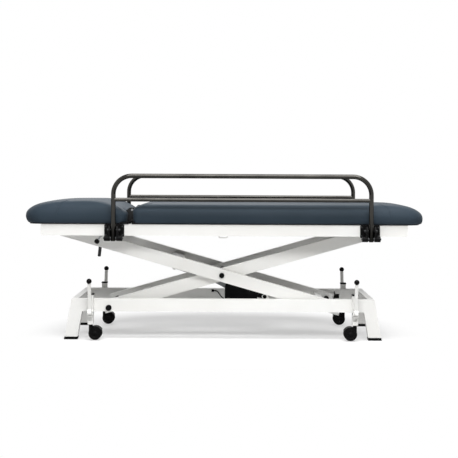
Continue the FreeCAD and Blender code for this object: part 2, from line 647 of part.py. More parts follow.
def scissor():
    rise, sink = ("-liftAngle", "liftAngle")
    across = Vector(0, 1, 0)
    inner = arm("inner_arm", "armLower + armEnd", "armUpper + armTopEnd",
                ["-armLower", "0", "armUpper"])
    place(inner, "centreX", "-innerArmY", "centreZ", across, rise)
    inner_tie = cross_tie("inner_tie", "innerTieAt - armLower", "innerTieWide", "tieTall",
                          "innerInside")
    place(inner_tie, "centreX", "0", "centreZ", across, rise)
    group("inner_arms", *both_sides(inner), inner_tie)

    outer = arm("outer_arm", "armUpper + armTopEnd", "armLower + armEnd",
                ["-armUpper", "0", "armLower"])
    place(outer, "centreX", "-outerArmY", "centreZ", across, sink)
    low_tie = cross_tie("outer_tie", "outerTieAt", "outerTieWide", "tieTall", "outerInside")
    push_tie = cross_tie("push_tie", "-pushTieAt", "pushTieWide", "pushTieTall", "outerInside")
    lug = slab("push_lug", [
        ("-pushTieAt - 18", "-pushTieTall / 2"), ("-pushTieAt - lugRadius", "-lugDrop"),
        ("-pushTieAt - 6", "-lugDrop - lugRadius"), ("-pushTieAt + 6", "-lugDrop - lugRadius"),
        ("-pushTieAt + lugRadius", "-lugDrop"),
        ("-pushTieAt + 18", "-pushTieTall / 2")], "lugPlate")
    for thing in (low_tie, push_tie):
        place(thing, "centreX", "0", "centreZ", across, sink)
    place(lug, "centreX", "-lugGap / 2 - lugPlate / 2", "centreZ", across, sink)
    group("outer_arms", *both_sides(outer), low_tie, push_tie, *both_sides(lug))

    upper = pin_set("upper_axle", "upperRollerX", "topPivotZ", "innerInside - pinProud",
                    "rollerInside + rollerWidth + 2", "innerOutside + sideGap",
                    "rollerInside - sideGap")
    group("upper_axles", *both_sides(upper))
    lower = pin_set("lower_axle", "lowerRollerX", "basePivotZ", "outerInside - pinProud",
                    "rollerInside + rollerWidth + 2", "outerOutside + sideGap",
                    "rollerInside - sideGap")
    centre = pin_set("centre_bolt", "centreX", "centreZ", "innerInside - pinProud",
                     "outerOutside + pinProud", "innerOutside + sideGap", "outerInside - sideGap")
    head = rod("lug_bolt", "lugRadius * 0.6", "lugPlate", "y", "lugX",
               "-lugGap / 2 - 2 * lugPlate", "lugZ")
    group("outer_arm_pins", *both_sides(lower), *both_sides(centre), *both_sides(head))

    out_cap = end_cap("centre_cap", "capRadius", "centreX", "centreZ", "outerOutside + pinProud")
    in_cap = rod("centre_cap_inner", "capRadius", "capThick", "y", "centreX",
                 "-innerInside + pinProud", "centreZ")
    axle_cap = rod("axle_cap", "capRadius", "capThick", "y", "lowerRollerX",
                   "-outerInside + pinProud", "basePivotZ")
    group("outer_arm_caps", *both_sides(out_cap), *both_sides(in_cap), *both_sides(axle_cap))


def roller(name, x, z):
    wheel = rod(name + "_tyre", "rollerRadius", "rollerWidth", "y", x,
                "-rollerInside - rollerWidth", z)
    bore = rod(name + "_bore", "pinRadius + fitGap", "rollerWidth + 4", "y", x,
               "-rollerInside - rollerWidth - 2", z)
    solid = without(name, wheel, bore)
    for side, thing in zip(("front", "rear"), both_sides(solid)):
        keep("%s_%s" % (name, side), thing)


# Actuator, drawn along its own X from the pin at its foot

def actuator():
    across = Vector(0, 1, 0)

    def seat(thing):
        return place(thing, "motorPinX", "0", "motorPinZ", across, "180 deg + pushAngle")

    foot = slab("actuator_foot", [
        ("-pinRadius * 2", "-pinRadius"), ("-pinRadius", "-pinRadius * 2"),
        ("motorStart", "-pinRadius * 2.4"), ("motorStart", "pinRadius * 2.4"),
        ("-pinRadius", "pinRadius * 2"), ("-pinRadius * 2", "pinRadius")],
        "footGap - 4 * sideGap")
    bore = new_sketch(foot, "XZ_Plane")
    circle(bore, "pinRadius + fitGap")
    pocket(foot, bore, "footGap * 2")
    keep("actuator_foot", seat(foot))

    motor = slab("actuator_motor", [
        ("motorStart", "-motorAbove"), ("motorEnd", "-motorAbove"),
        ("motorEnd", "motorBelow - motorCut"), ("motorEnd - motorCut * tan(pushAngle)", "motorBelow"),
        ("motorStart", "motorBelow")], "motorWide")
    round_edges(motor, lambda edge: edge.BoundBox.YLength < 1e-4 and edge.Length > 20, "motorRound")
    keep("actuator_motor", seat(motor))

    sleeve = new_body("actuator_sleeve")
    profile = new_sketch(sleeve, "XY_Plane")
    bore = "pistonRadius + fitGap"
    outline(profile, [("motorEnd", bore), ("motorEnd", "coneRadius"),
                      ("coneEnd", "sleeveRadius"), ("sleeveEnd", "sleeveRadius"),
                      ("sleeveEnd", bore)])
    revolve(sleeve, profile)
    keep("actuator_sleeve", seat(sleeve))

    piston = new_body("actuator_piston")
    profile = new_sketch(piston, "XY_Plane")
    outline(profile, [("pistonStart", "0"), ("pistonStart", "pistonRadius"),
                      ("pushLong - 12", "pistonRadius"), ("pushLong - 8", "0")])
    revolve(piston, profile)
    eye = new_sketch(piston, "XZ_Plane")
    circle(eye, "eyeRadius", "pushLong", "0")
    pad(piston, eye, "eyeWide")
    bore = new_sketch(piston, "XZ_Plane")
    circle(bore, "pinRadius", "pushLong", "0")
    pocket(piston, bore, "eyeWide * 2")
    keep("actuator_piston", seat(piston))


# Top frame

def top_frame():
    rail = tube("top_rail", "YZ_Plane", "topRailDeep", "topRailTall", "topWall",
                "topRightX - topLeftX")
    place(rail, "(topRightX + topLeftX) / 2", "-topRailY", "topZ - topRailTall / 2")
    ends = []
    for name, x in (("top_end_left", "topLeftX + topRailDeep / 2"),
                    ("top_end_right", "topRightX - topRailDeep / 2")):
        end = tube(name, "XZ_Plane", "topRailDeep", "topRailTall", "topWall", "2 * topInnerY")
        ends.append(place(end, x, "0", "topZ - topRailTall / 2"))
    crosses = []
    for name, x in (("cross_left", "crossLeftX"), ("cross_right", "crossRightX")):
        cross = tube(name, "XZ_Plane", "crossWide", "crossTall", "topWall", "2 * topInnerY")
        crosses.append(place(cross, x, "0", "topZ - crossTall / 2"))

    inside = "topRightX - topLeftX - 2 * topRailDeep"
    lift = tube("lift_rail", "YZ_Plane", "railDeep", "liftRailTall", "liftRailWall", inside)
    middle = "(topRightX + topLeftX) / 2"
    slot = new_sketch(lift, "XZ_Plane", "liftRailWall / 2 - railDeep / 2")
    near = "upperNearX - rollerRadius - trackSlack - %s" % middle
    far = "upperFarX + rollerRadius + trackSlack - %s" % middle
    track = "rollerRadius + rollerGap"
    outline(slot, [(near, "-(%s)" % track), (far, "-(%s)" % track), (far, track), (near, track)])
    pocket(lift, slot, "liftRailWall * 1.5")
    bores = new_sketch(lift, "XZ_Plane")
    circle(bores, "pinRadius + fitGap", "topPivotX - %s" % middle, "0")
    pocket(lift, bores, "railDeep * 2")
    bearing = new_sketch(lift, "XZ_Plane")
    circle(bearing, "releaseRadius + fitGap", "releaseX - %s" % middle, "releaseZ - topPivotZ")
    pocket(lift, bearing, "railDeep * 2")
    place(lift, middle, "-railY", "topPivotZ")

    under = "topZ - crossTall"
    hanger = slab("spring_hanger", [
        ("crossLeftX + 10", under), ("crossLeftX - crossWide / 2 + 2", under),
        ("springRootX + 16", "springRootZ + 14"), ("springRootX", "springRootZ + springEye"),
        ("springRootX - springEye", "springRootZ"), ("springRootX", "springRootZ - springEye"),
        ("springRootX + 20", "springRootZ - springEye")], "springPlate")
    bore = new_sketch(hanger, "XZ_Plane")
    circle(bore, "springPinRadius + fitGap", "springRootX", "springRootZ")
    pocket(hanger, bore, "springPlate * 3")
    place(hanger, y="-springEyeWide / 2 - sideGap - springPlate / 2")
    group("top_frame", *both_sides(rail), *ends, *crosses, *both_sides(lift), *both_sides(hanger),
          hook())

    bolt = pin_set("top_pivot", "topPivotX", "topPivotZ", "outerInside - pinProud",
                   "baseWidth / 2", "outerOutside + sideGap", "railInnerY - sideGap")
    spring_pin = rod("spring_pin", "springPinRadius", "springEyeWide + 2 * springPlate + 4", "y",
                     "springRootX", "-springEyeWide / 2 - springPlate - 2", "springRootZ")
    plate = slab("hinge_post", [
        ("hingeNear", "topZ - headPivotZ"), ("hingeNear + hingeWide", "topZ - headPivotZ"),
        ("hingeNear + hingeWide", "-hingeBoss"), ("hingeNear + 3", "hingeBoss"),
        ("-hingeBoss", "hingeBoss"), ("-hingeBoss", "-hingeBoss")], "hingePlate")
    bore = new_sketch(plate, "XZ_Plane")
    circle(bore, "hingePinRadius + fitGap")
    pocket(plate, bore, "hingePlate * 3")
    place(plate, "splitX", "-hingeY + hingePlate / 2 + hingeHalfGap", "headPivotZ")
    pin = rod("hinge_pin", "hingePinRadius", "2 * hingePlate + 3", "y", "splitX",
              "-hingeY - hingePlate - 1.5", "headPivotZ")
    group("hinge_posts", *both_sides(plate))
    group("top_pins", *both_sides(bolt), spring_pin, *both_sides(pin))


def bent_tube(name, span, tall, bend, radius, wall=None):
    """A tube up one post, over and down the other, drawn in its own XZ plane from z = 0."""
    body = new_body(name)
    path = new_sketch(body, "XZ_Plane")
    half = "(%s) / 2" % span
    low = "(%s) - (%s)" % (tall, bend)
    turn = "%s - (%s)" % (half, bend)
    ends = [(("-" + half, "0"), ("-" + half, low)), (("-(%s)" % turn, tall), (turn, tall)),
            ((half, low), (half, "0"))]
    for index, (start, stop) in enumerate(ends):
        line = Part.LineSegment(Vector(value(start[0]), value(start[1]), 0),
                                Vector(value(stop[0]), value(stop[1]), 0))
        path.addGeometry(line, False)
        for point, spot in ((1, start), (2, stop)):
            tie(path, "DistanceX", index, point, spot[0])
            tie(path, "DistanceY", index, point, spot[1])
    size = value(bend)
    for sign, start, angles in ((-1, 0, (math.pi / 2, math.pi)), (1, 1, (0, math.pi / 2))):
        centre = Vector(sign * value(turn), value(low), 0)
        arc = path.addGeometry(Part.ArcOfCircle(Part.Circle(centre, Vector(0, 0, 1), size),
                                                *angles), False)
        path.addConstraint(Sketcher.Constraint("Tangent", start, 2, arc, 2))
        path.addConstraint(Sketcher.Constraint("Coincident", start + 1, 1, arc, 1))
    section = new_sketch(body, "XY_Plane")
    circle(section, radius, "-" + half, "0")
    if wall:
        circle(section, "%s - %s" % (radius, wall), "-" + half, "0")
    doc.recompute()
    pipe = body.newObject("PartDesign::AdditivePipe", name + "_pipe")
    pipe.Profile = section
    pipe.Spine = (path, ["Edge%d" % (i + 1) for i in range(len(path.Shape.Edges))])
    body.Tip = pipe
    return body


def hook():
    """A small wire hook under the front rail for straps."""
    body = bent_tube("strap_hook", "hookSpan", "hookDrop", "hookBend", "hookRadius")
    return place(body, "hookX", "-topRailY", "topRailBottom", Vector(1, 0, 0), "180")


# Cushions, boards and head section

def board(name, left, right, outer_left, slot_at, slot_to):
    wide = "cushionWide - 2 * boardInset"
    body = new_body(name)
    plan = new_sketch(body, "XY_Plane", "topZ + boardThick / 2")
    rectangle(plan, "%s - (%s)" % (right, left), wide, "((%s) + (%s)) / 2" % (left, right))
    pad(body, plan, "boardThick")
    outer = value(left if outer_left else right)
    round_edges(body, lambda edge: runs_along(edge, "z")
                and abs(edge.BoundBox.XMin - outer) < 1, "cornerRadius - boardInset")
    cut_slots(body, slot_at, slot_to)
    return body


def cut_slots(body, slot_at, slot_to):
    """Room for the two hinges in a board or cushion at the split."""
    for sign in ("", "-"):
        slot = new_sketch(body, "XZ_Plane", sign + "hingeY")
        outline(slot, [(slot_at, "topZ - 1"), (slot_to, "topZ - 1"), (slot_to, "slotTop"),
                       (slot_at, "slotTop")])
        pocket(body, slot, "slotWide")


def cushion(name, left, right, tall, notch_right, slot_at, slot_to):
    """Foam and cover round the board: rounded outer corners, sloped top edge at the split."""
    body = new_body(name)
    skirt = "boardThick - wrapLip"
    plan = new_sketch(body, "XY_Plane", "cushionBottom + (%s - (%s)) / 2" % (tall, skirt))
    rectangle(plan, "%s - (%s)" % (right, left), "cushionWide", "((%s) + (%s)) / 2" % (left, right))
    pad(body, plan, "%s + %s" % (tall, skirt))
    room_left = "(%s + boardInset - wrapGap)" % left if notch_right else "(%s - 1)" % left
    room_right = "(%s + 1)" % right if notch_right else "(%s - boardInset + wrapGap)" % right
    room = new_sketch(body, "XY_Plane", "topZ")
    rectangle(room, "%s - %s" % (room_right, room_left),
              "cushionWide - 2 * boardInset + 2 * wrapGap", "(%s + %s) / 2" % (room_left, room_right))
    pocket(body, room, "2 * boardThick")
    inner = value(room_left if notch_right else room_right)
    round_edges(body, lambda edge: runs_along(edge, "z")
                and abs(edge.BoundBox.XMin - inner) < 0.1, "cornerRadius - boardInset")
    top = "cushionBottom + %s" % tall
    rise = "(%s - headPivotZ)" % top
    face = right if notch_right else left
    sign = "-" if notch_right else ""
    notch = new_sketch(body, "XZ_Plane")
    outline(notch, [(face, "headPivotZ"), ("%s %s tan(notchSlope) * (%s + 1)" %
                     (face, sign or "+", rise), "%s + 1" % top),
                    ("%s %s 5" % (face, "+" if notch_right else "-"), "%s + 1" % top),
                    ("%s %s 5" % (face, "+" if notch_right else "-"), "headPivotZ")])
    pocket(body, notch, "cushionWide * 2")
    outer = value(left if notch_right else right)
    round_edges(body, lambda edge: runs_along(edge, "z")
                and abs(edge.BoundBox.XMin - outer) < 1, "cornerRadius")
    high, split = value(top), value(face)
    round_edges(body, lambda edge: abs(edge.BoundBox.ZMin - high) < 0.01
                and abs(edge.BoundBox.ZMax - high) < 0.01
                and not (edge.BoundBox.XLength < 0.1 and abs(edge.BoundBox.XMin - split) < 60),
                "edgeRadius")
    cut_slots(body, slot_at, slot_to)
    return body


def cushions():
    head_right, body_left = "(splitX - splitGap / 2)", "(splitX + splitGap / 2)"
    keep("body_board", board("body_board", "%s + boardSplitInset" % body_left,
                             "cushionRightX - boardInset", False, "splitX",
                             "splitX + hingeNear + slotRun"))
    keep("body_cushion", cushion("body_cushion", body_left, "cushionRightX", "bodyCushionTall",
                                 False, "splitX", "splitX + hingeNear + slotRun"))
    keep("head_board", board("head_board", "cushionLeftX + boardInset",
                             "%s - boardSplitInset" % head_right, True,
                             "splitX - hingeNear - slotRun", "splitX"))
    keep("head_cushion", cushion("head_cushion", "cushionLeftX", head_right, "headCushionTall",
                                 True, "splitX - hingeNear - slotRun", "splitX"))


def head_frame():
    side_left, side_right = "-headFrameEnd", "splitX - hingeNear"
    side = slab("head_side", box_corners("%s - (%s)" % (side_right, side_left), "headBarThick",
                                         "(%s + (%s)) / 2" % (side_right, side_left), "headBarZ"),
                "headBarWide")
    place(side, y="-headSideY")
    tie_bar = slab("head_tie", box_corners("headBarWide", "headBarThick", "headTieX", "headBarZ"),
                   "2 * headSideY - headBarWide")
    pad_far, pad_near = "(headSideY - headBarWide / 2)", "(hingeY - hingePlate - headBarThick)"
    foot = slab("hinge_foot", box_corners("hingeWide", "headBarThick",
                                          "splitX - hingeNear - hingeWide / 2", "headBarZ"),
                "%s - %s" % (pad_far, pad_near))
    place(foot, y="-(%s + %s) / 2" % (pad_far, pad_near))
    leaf = slab("hinge_leaf", [
        ("-hingeNear", "topZ - headPivotZ"), ("-hingeNear - hingeWide", "topZ - headPivotZ"),
        ("-hingeNear - hingeWide", "-hingeBoss"), ("-hingeNear - 3", "hingeBoss"),
        ("hingeBoss", "hingeBoss"), ("hingeBoss", "-hingeBoss")], "hingePlate")
    bore = new_sketch(leaf, "XZ_Plane")
    circle(bore, "hingePinRadius + fitGap")
    pocket(leaf, bore, "hingePlate * 3")
    place(leaf, "splitX", "-hingeY - hingePlate / 2 - hingeHalfGap", "headPivotZ")
    lug = slab("spring_lug", [
        ("headTieX - 12", "topZ - headBarThick"), ("headTieX - springEye", "springTipZ - 4"),
        ("headTieX", "springTipZ - springEye"), ("headTieX + springEye", "springTipZ - 4"),
        ("headTieX + 12", "topZ - headBarThick")], "springPlate")
    place(lug, y="-springEyeWide / 2 - 1 - springPlate / 2")
    group("head_frame", *both_sides(side), tie_bar, *both_sides(foot), *both_sides(leaf),
          *both_sides(lug))


def gas_spring():
    across = Vector(0, 1, 0)

    def seat(thing):
        return place(thing, "springRootX", "0", "springRootZ", across, "180 deg + springAngle")

    cylinder = new_body("gas_cylinder")
    profile = new_sketch(cylinder, "XY_Plane")
    bore = "springRodRadius + fitGap"
    outline(profile, [("springBodyStart", "0"), ("springBodyStart", "springRadius"),
                      ("springBodyEnd", "springRadius"), ("springBodyEnd", bore),
                      ("springBore", bore), ("springBore", "0")])
    revolve(cylinder, profile)
    eye = new_sketch(cylinder, "XZ_Plane")
    outline(eye, [("-springEye", "-3"), ("-3", "-springEye"), ("springBodyStart + 3", "-6"),
                  ("springBodyStart + 3", "6"), ("-3", "springEye"), ("-springEye", "3")])
    pad(cylinder, eye, "springEyeWide")
    hole = new_sketch(cylinder, "XZ_Plane")
    circle(hole, "springPinRadius + fitGap")
    pocket(cylinder, hole, "springEyeWide * 2")
    keep("gas_cylinder", seat(cylinder))

    piston = new_body("gas_rod")
    profile = new_sketch(piston, "XY_Plane")
    outline(profile, [("springRodStart", "0"), ("springRodStart", "springRodRadius"),
                      ("springLong - 6", "springRodRadius"), ("springLong - 4", "0")])
    revolve(piston, profile)
    tip = new_sketch(piston, "XZ_Plane")
    circle(tip, "springEye", "springLong", "0")
    pad(piston, tip, "springEyeWide - 2")
    keep("gas_rod", seat(piston))


def solid_along(points, radius, name):
    """A round bar or cord along straight runs with an arc at each corner."""
    edges, last, bends = [], points[0], []
    for before, corner, after in zip(points, points[1:], points[2:]):
        inward, outward = before - corner, after - corner
        turn = math.pi - inward.getAngle(outward)
        reach = 0.45 * min(inward.Length, outward.Length)
        bends.append(reach / math.tan(turn / 2))
        inward.normalize()
        outward.normalize()
        start, stop = corner + inward * reach, corner + outward * reach
        bisector = inward + outward
        bisector.normalize()
        centre = corner + bisector * math.hypot(bends[-1], reach)
        edges.append(Part.LineSegment(last, start).toShape())
        edges.append(Part.Arc(start, centre - bisector * bends[-1], stop).toShape())
        last = stop
    edges.append(Part.LineSegment(last, points[-1]).toShape())
    wire = Part.Wire(edges)
    disc = Part.Wire(Part.makeCircle(radius, points[0], points[1] - points[0]))
    thing = doc.addObject("Part::Feature", name)
    thing.Shape = wire.makePipeShell([disc], True, True)
    expected = math.pi * radius ** 2 * wire.Length
    print("%s: bend radii %s, volume ratio %.4f"
          % (name, [round(bend, 1) for bend in bends], thing.Shape.Volume / expected))
    return thing


def release_handle():
    """Cross shaft of the gas spring's release with a crank and a drop handle."""
    shaft = rod("release_shaft", "releaseRadius", "crankY + releaseRadius - releaseFar", "y",
                "releaseX", "-crankY - releaseRadius", "releaseZ")
    crank = doc.addObject("Part::Cylinder", "release_crank")
    bind(crank, Radius="crankRadius", Height="crankLong - crankSeat")
    place(crank, "releaseX", "-crankY", "releaseZ", Vector(0, 1, 0), "180 deg + crankAngle")
    spots = [Vector(value("releaseX"), -value("dropY"), value("releaseZ")),
             Vector(value("dropKneeX"), -value("dropY"), value("dropKneeZ")),
             Vector(value("dropEndX"), -value("dropY"), value("dropEndZ"))]
    drop = solid_along(spots, value("dropRadius"), "release_drop")
    keep("release_lever", fused("release_lever", shaft, crank, drop))

    ball = doc.addObject("Part::Sphere", "release_knob")
    bind(ball, Radius="crankKnob", Angle1="-asin(crankSeat / crankKnob)")
    place(ball, "crankX", "-crankY", "crankZ", Vector(0, 1, 0), "180 deg + crankAngle")
    keep("release_knob", ball)

    lean = "atan((dropKneeX - dropEndX) / (dropKneeZ - dropEndZ))"
    grip = new_body("release_grip")
    profile = new_sketch(grip, "XZ_Plane")
    wall = "dropRadius + fitGap"
    outline(profile, [(wall, "0"), (wall, "gripLong"), ("gripRadius - 1", "gripLong"),
                      ("gripRadius", "gripLong - 2"), ("gripRadius", "-3"),
                      ("gripRadius - 2", "-6"), ("0", "-7"), ("0", "0")])
    revolve(grip, profile, "V_Axis")
    place(grip, "dropEndX", "-dropY", "dropEndZ", Vector(0, 1, 0), lean)
    keep("release_grip", grip)


# Side rails and clamps

def side_rails():
    span = "postRightX - postLeftX"
    body = bent_tube("side_rail", span, "sideTopZ - postBottom", "sideBend",
                     "postRadius", "postWall")
    lower = new_sketch(body, "YZ_Plane")
    circle(lower, "lowerTubeRadius", "0", "lowerTubeZ - postBottom")
    circle(lower, "lowerTubeRadius - postWall", "0", "lowerTubeZ - postBottom")
    pad(body, lower, "%s - postRadius" % span)
    bore = new_sketch(body, "YZ_Plane")
    circle(bore, "foldPinRadius + fitGap", "0", "foldZ - postBottom")
    pocket(body, bore, "(%s) * 1.2" % span)
    place(body, "(postLeftX + postRightX) / 2", "-sideRailY", "postBottom")
    front, rear = both_sides(body)
    keep("side_rail_front", front)
    keep("side_rail_rear", rear)


def rail_clamp():
    """Clamp casting on the outer face of the top rail: plate, two webs and two round lobes."""
    body = new_body("rail_clamp")
    plate = new_sketch(body, "XZ_Plane", "topOuterY + clampPlate / 2")
    rectangle(plate, "clampWide", "clampTop - clampBottom", "0", "(clampTop + clampBottom) / 2")
    pad(body, plate, "clampPlate")
    round_edges(body, lambda edge: runs_along(edge, "y"), "clampPlate")
    back, front = "-topOuterY - clampPlate / 2", "-sideRailY - lobeRadius"
    for sign in ("", "-"):
        web = new_sketch(body, "YZ_Plane", "%s(webGap / 2 + clampWeb / 2)" % sign)
        outline(web, [(back, "clampWebTop"), ("-sideRailY", "clampWebTop"),
                      (front, "clampWebTop - 20"), (front, "foldZ"),
                      ("-sideRailY + lobeRadius", "foldZ - 8"), (back, "clampBottom + 4")])
        pad(body, web, "clampWeb")
        lobe = new_sketch(body, "YZ_Plane", "%s(webGap / 2 + lobeLong / 2)" % sign)
        circle(lobe, "lobeRadius", "-sideRailY", "foldZ")
        pad(body, lobe, "lobeLong")
    latch_y = "-sideRailY + postRadius + sideGap + latchRadius"
    bore = new_sketch(body, "YZ_Plane")
    circle(bore, "foldPinRadius + fitGap", "-sideRailY", "foldZ")
    circle(bore, "latchRadius + fitGap", latch_y, "latchZ")
    pocket(body, bore, "clampWide * 1.2")

    pin = fused("fold_pin",
                rod("fold_shaft", "foldPinRadius", "foldPinLong", "x", "-foldPinLong / 2",
                    "-sideRailY", "foldZ"),
                rod("fold_collar_left", "collarRadius", "collarThick", "x",
                    "-webGap / 2 + sideGap", "-sideRailY", "foldZ"),
                rod("fold_collar_right", "collarRadius", "collarThick", "x",
                    "webGap / 2 - sideGap - collarThick", "-sideRailY", "foldZ"))
    reach = "webGap / 2 + clampWeb"
    latch = fused("latch_bolt",
                  rod("latch_shaft", "latchRadius", "latchLong", "x", "-latchLong / 2",
                      latch_y, "latchZ"),
                  rod("latch_nut", "latchHead", "latchHeadLong", "x",
                      "-(%s) - latchHeadLong" % reach, latch_y, "latchZ"),
                  rod("latch_head", "latchHead", "latchHeadLong", "x", reach, latch_y, "latchZ"))
    screws = []
    middle = "(clampTop + clampBottom) / 2"
    for column in ("-", ""):
        for row in ("-", "+"):
            screws.append(rod("clamp_screw", "screwRadius", "screwHead", "y",
                              "%sscrewSpanX / 2" % column,
                              "-topOuterY - clampPlate - screwHead",
                              "%s %s screwSpanZ / 2" % (middle, row)))
    fastener = doc.addObject("Part::Compound", "clamp_fasteners")
    fastener.Links = [pin, latch] + screws
    clamps, bolts = [], []
    for source, kept in ((body, clamps), (fastener, bolts)):
        for side in both_sides(source):
            for x in ("postLeftX", "postRightX"):
                link = doc.addObject("App::Link", side.Name + "_at")
                link.LinkedObject = side
                bind(link, Placement__Base__x=x)
                kept.append(link)
    group("rail_clamps", *clamps)
    group("clamp_bolts", *bolts)


# Lead of the actuator, clipped to the rear rail and the base member

def lead():
    """Points chosen by hand between the clip on the rear rail and the gland on the base member."""
    radius = value("leadRadius")
    start, end = value("clipX"), value("memberX - memberDeep / 2 - glandLong")
    clip_y, clip_z = value("railInnerY") - 2 * radius, value("baseTop - clipDrop")
    gland_y, gland_z = value("glandY"), value("memberZ")
    spots = [Vector(start, clip_y, clip_z), Vector(start + 16, clip_y, clip_z),
             Vector(start + 28, clip_y - 28, clip_z - 10),
             Vector(start + 42, clip_y - 62, clip_z - 28),
             Vector(start + 80, clip_y - 98, clip_z - 46),
             Vector(start + 132, clip_y - 120, clip_z - 53),
             Vector(end - 86, gland_y + 3, clip_z - 46), Vector(end - 42, gland_y, gland_z),
             Vector(end, gland_y, gland_z)]
    keep("actuator_lead", solid_along(spots, radius, "actuator_lead"))

    gland = rod("gland_nut", "leadRadius * 2.4", "glandLong", "x",
                "memberX - memberDeep / 2 - glandLong", "glandY", "memberZ")
    clip = slab("lead_clip_block", box_corners("clipLong", "4 * leadRadius",
                                               "clipX - clipLong / 2", "baseTop - clipDrop"),
                "4 * leadRadius")
    place(clip, y="railInnerY - 2 * leadRadius")
    group("lead_clips", gland, clip)


base_frame()
base_details()
castor_guide()
castor_slide()
castor_hood()
castor_wheels()
castor_lever()
scissor()
roller("lower_roller", "lowerRollerX", "basePivotZ")
roller("upper_roller", "upperRollerX", "topPivotZ")
actuator()
top_frame()
cushions()
head_frame()
gas_spring()
release_handle()
side_rails()
rail_clamp()
lead()
doc.recompute()

for thing in doc.Objects:
    if "Invalid" in thing.State or "Error" in thing.State:
        raise RuntimeError("%s failed: %s" % (thing.Name, thing.State))
for name, thing in nodes.items():
    if thing.Shape.isNull() or not thing.Shape.isValid() or not thing.Shape.Solids:
        raise RuntimeError("%s has no valid solid" % name)

os.makedirs("parts", exist_ok=True)
for name, thing in nodes.items():
    thing.Shape.exportStep(os.path.join("parts", name + ".step"))
print("%d nodes, %d solids" % (len(nodes), sum(len(t.Shape.Solids) for t in nodes.values())))
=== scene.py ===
# Treatment table for children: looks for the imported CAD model.
# Metres, +X towards the foot end, +Y to the rear side, +Z up, floor at z = 0.
import bpy
import bmesh
import json
import math
from mathutils import Matrix, Vector


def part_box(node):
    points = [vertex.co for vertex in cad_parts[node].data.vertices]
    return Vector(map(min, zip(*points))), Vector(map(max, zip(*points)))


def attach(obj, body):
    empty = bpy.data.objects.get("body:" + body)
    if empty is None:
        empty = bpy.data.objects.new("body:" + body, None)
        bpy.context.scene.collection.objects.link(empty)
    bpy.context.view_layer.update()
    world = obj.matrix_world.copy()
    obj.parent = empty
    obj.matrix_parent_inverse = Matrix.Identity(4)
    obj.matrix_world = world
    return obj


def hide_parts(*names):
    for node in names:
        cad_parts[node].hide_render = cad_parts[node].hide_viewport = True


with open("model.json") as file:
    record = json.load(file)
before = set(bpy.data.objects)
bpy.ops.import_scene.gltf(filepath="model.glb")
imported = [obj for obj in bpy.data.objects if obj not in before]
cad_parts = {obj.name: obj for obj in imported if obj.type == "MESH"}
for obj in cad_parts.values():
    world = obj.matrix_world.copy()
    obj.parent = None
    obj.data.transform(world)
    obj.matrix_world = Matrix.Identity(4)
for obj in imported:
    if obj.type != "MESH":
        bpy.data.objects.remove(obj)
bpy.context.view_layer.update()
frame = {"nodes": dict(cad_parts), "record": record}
nodes = frame["nodes"]
bodyOf = {name: body for body, names in frame["record"]["behaviour"]["bodies"].items()
          for name in names}
scene = bpy.context.scene
print("frame loaded:", len(nodes), "nodes")

# View: read off the picture, a long lens a little above the padded top
view = {
    "imageSize": 458,
    "focalPixels": 938,
    "sensorWidth": 36,
    "place": (0.042, -4.7, 0.787),
    "middle": (232.4, 175.0),     # pixel that the lens points at
    "rollDegrees": 0.27,
    "clipEnd": 60,
}


def makeCamera():
    size = view["imageSize"]
    data = bpy.data.cameras.new("camera")
    data.sensor_width = view["sensorWidth"]
    data.lens = view["sensorWidth"] * view["focalPixels"] / size
    data.shift_x = (size / 2 - view["middle"][0]) / size
    data.shift_y = (view["middle"][1] - size / 2) / size
    data.clip_end = view["clipEnd"]
    camera = bpy.data.objects.new("camera", data)
    camera.location = view["place"]
    turn = Matrix.Rotation(math.radians(90), 4, "X")
    roll = Matrix.Rotation(math.radians(view["rollDegrees"]), 4, "Z")
    camera.rotation_euler = (turn @ roll).to_euler()
    scene.collection.objects.link(camera)
    scene.camera = camera


makeCamera()
scene.view_settings.view_transform = "Standard"


# Colours and node helper
def srgb(code):
    values = [int(code[i:i + 2], 16) / 255 for i in (1, 3, 5)]
    linear = [v / 12.92 if v <= 0.04045 else ((v + 0.055) / 1.055) ** 2.4 for v in values]
    return (*linear, 1.0)


def addNode(tree, kind, settings=None, links=None):
    # settings: attribute or socket name to value; links: socket name to an output socket
    made = tree.nodes.new(kind)
    for name, value in (settings or {}).items():
        if isinstance(name, int) or name in made.inputs:
            made.inputs[name].default_value = value
        else:
            setattr(made, name, value)
    for name, source in (links or {}).items():
        tree.links.new(source, made.inputs[name])
    return made


def newMaterial(name):
    material = bpy.data.materials.new(name)
    material.use_nodes = True
    tree = material.node_tree
    shader = tree.nodes["Principled BSDF"]
    place = addNode(tree, "ShaderNodeTexCoord").outputs["Object"]
    return material, tree, shader, place


def setShader(shader, **values):
    for name, value in values.items():
        shader.inputs[name.replace("_", " ")].default_value = value


def twoTones(tree, factor, dark, light, low=0.0, high=1.0):
    ramp = addNode(tree, "ShaderNodeValToRGB", links={"Fac": factor})
    ramp.color_ramp.elements[0].position = low
    ramp.color_ramp.elements[0].color = srgb(dark)
    ramp.color_ramp.elements[1].position = high
    ramp.color_ramp.elements[1].color = srgb(light)
    return ramp.outputs["Color"]


def spread(tree, factor, low, high):
    return addNode(tree, "ShaderNodeMapRange", {"To Min": low, "To Max": high},
                   {"Value": factor}).outputs["Result"]


def bump(tree, shader, height, strength, distance):
    made = addNode(tree, "ShaderNodeBump", {"Strength": strength, "Distance": distance},
                   {"Height": height})
    tree.links.new(made.outputs["Normal"], shader.inputs["Normal"])
    return made


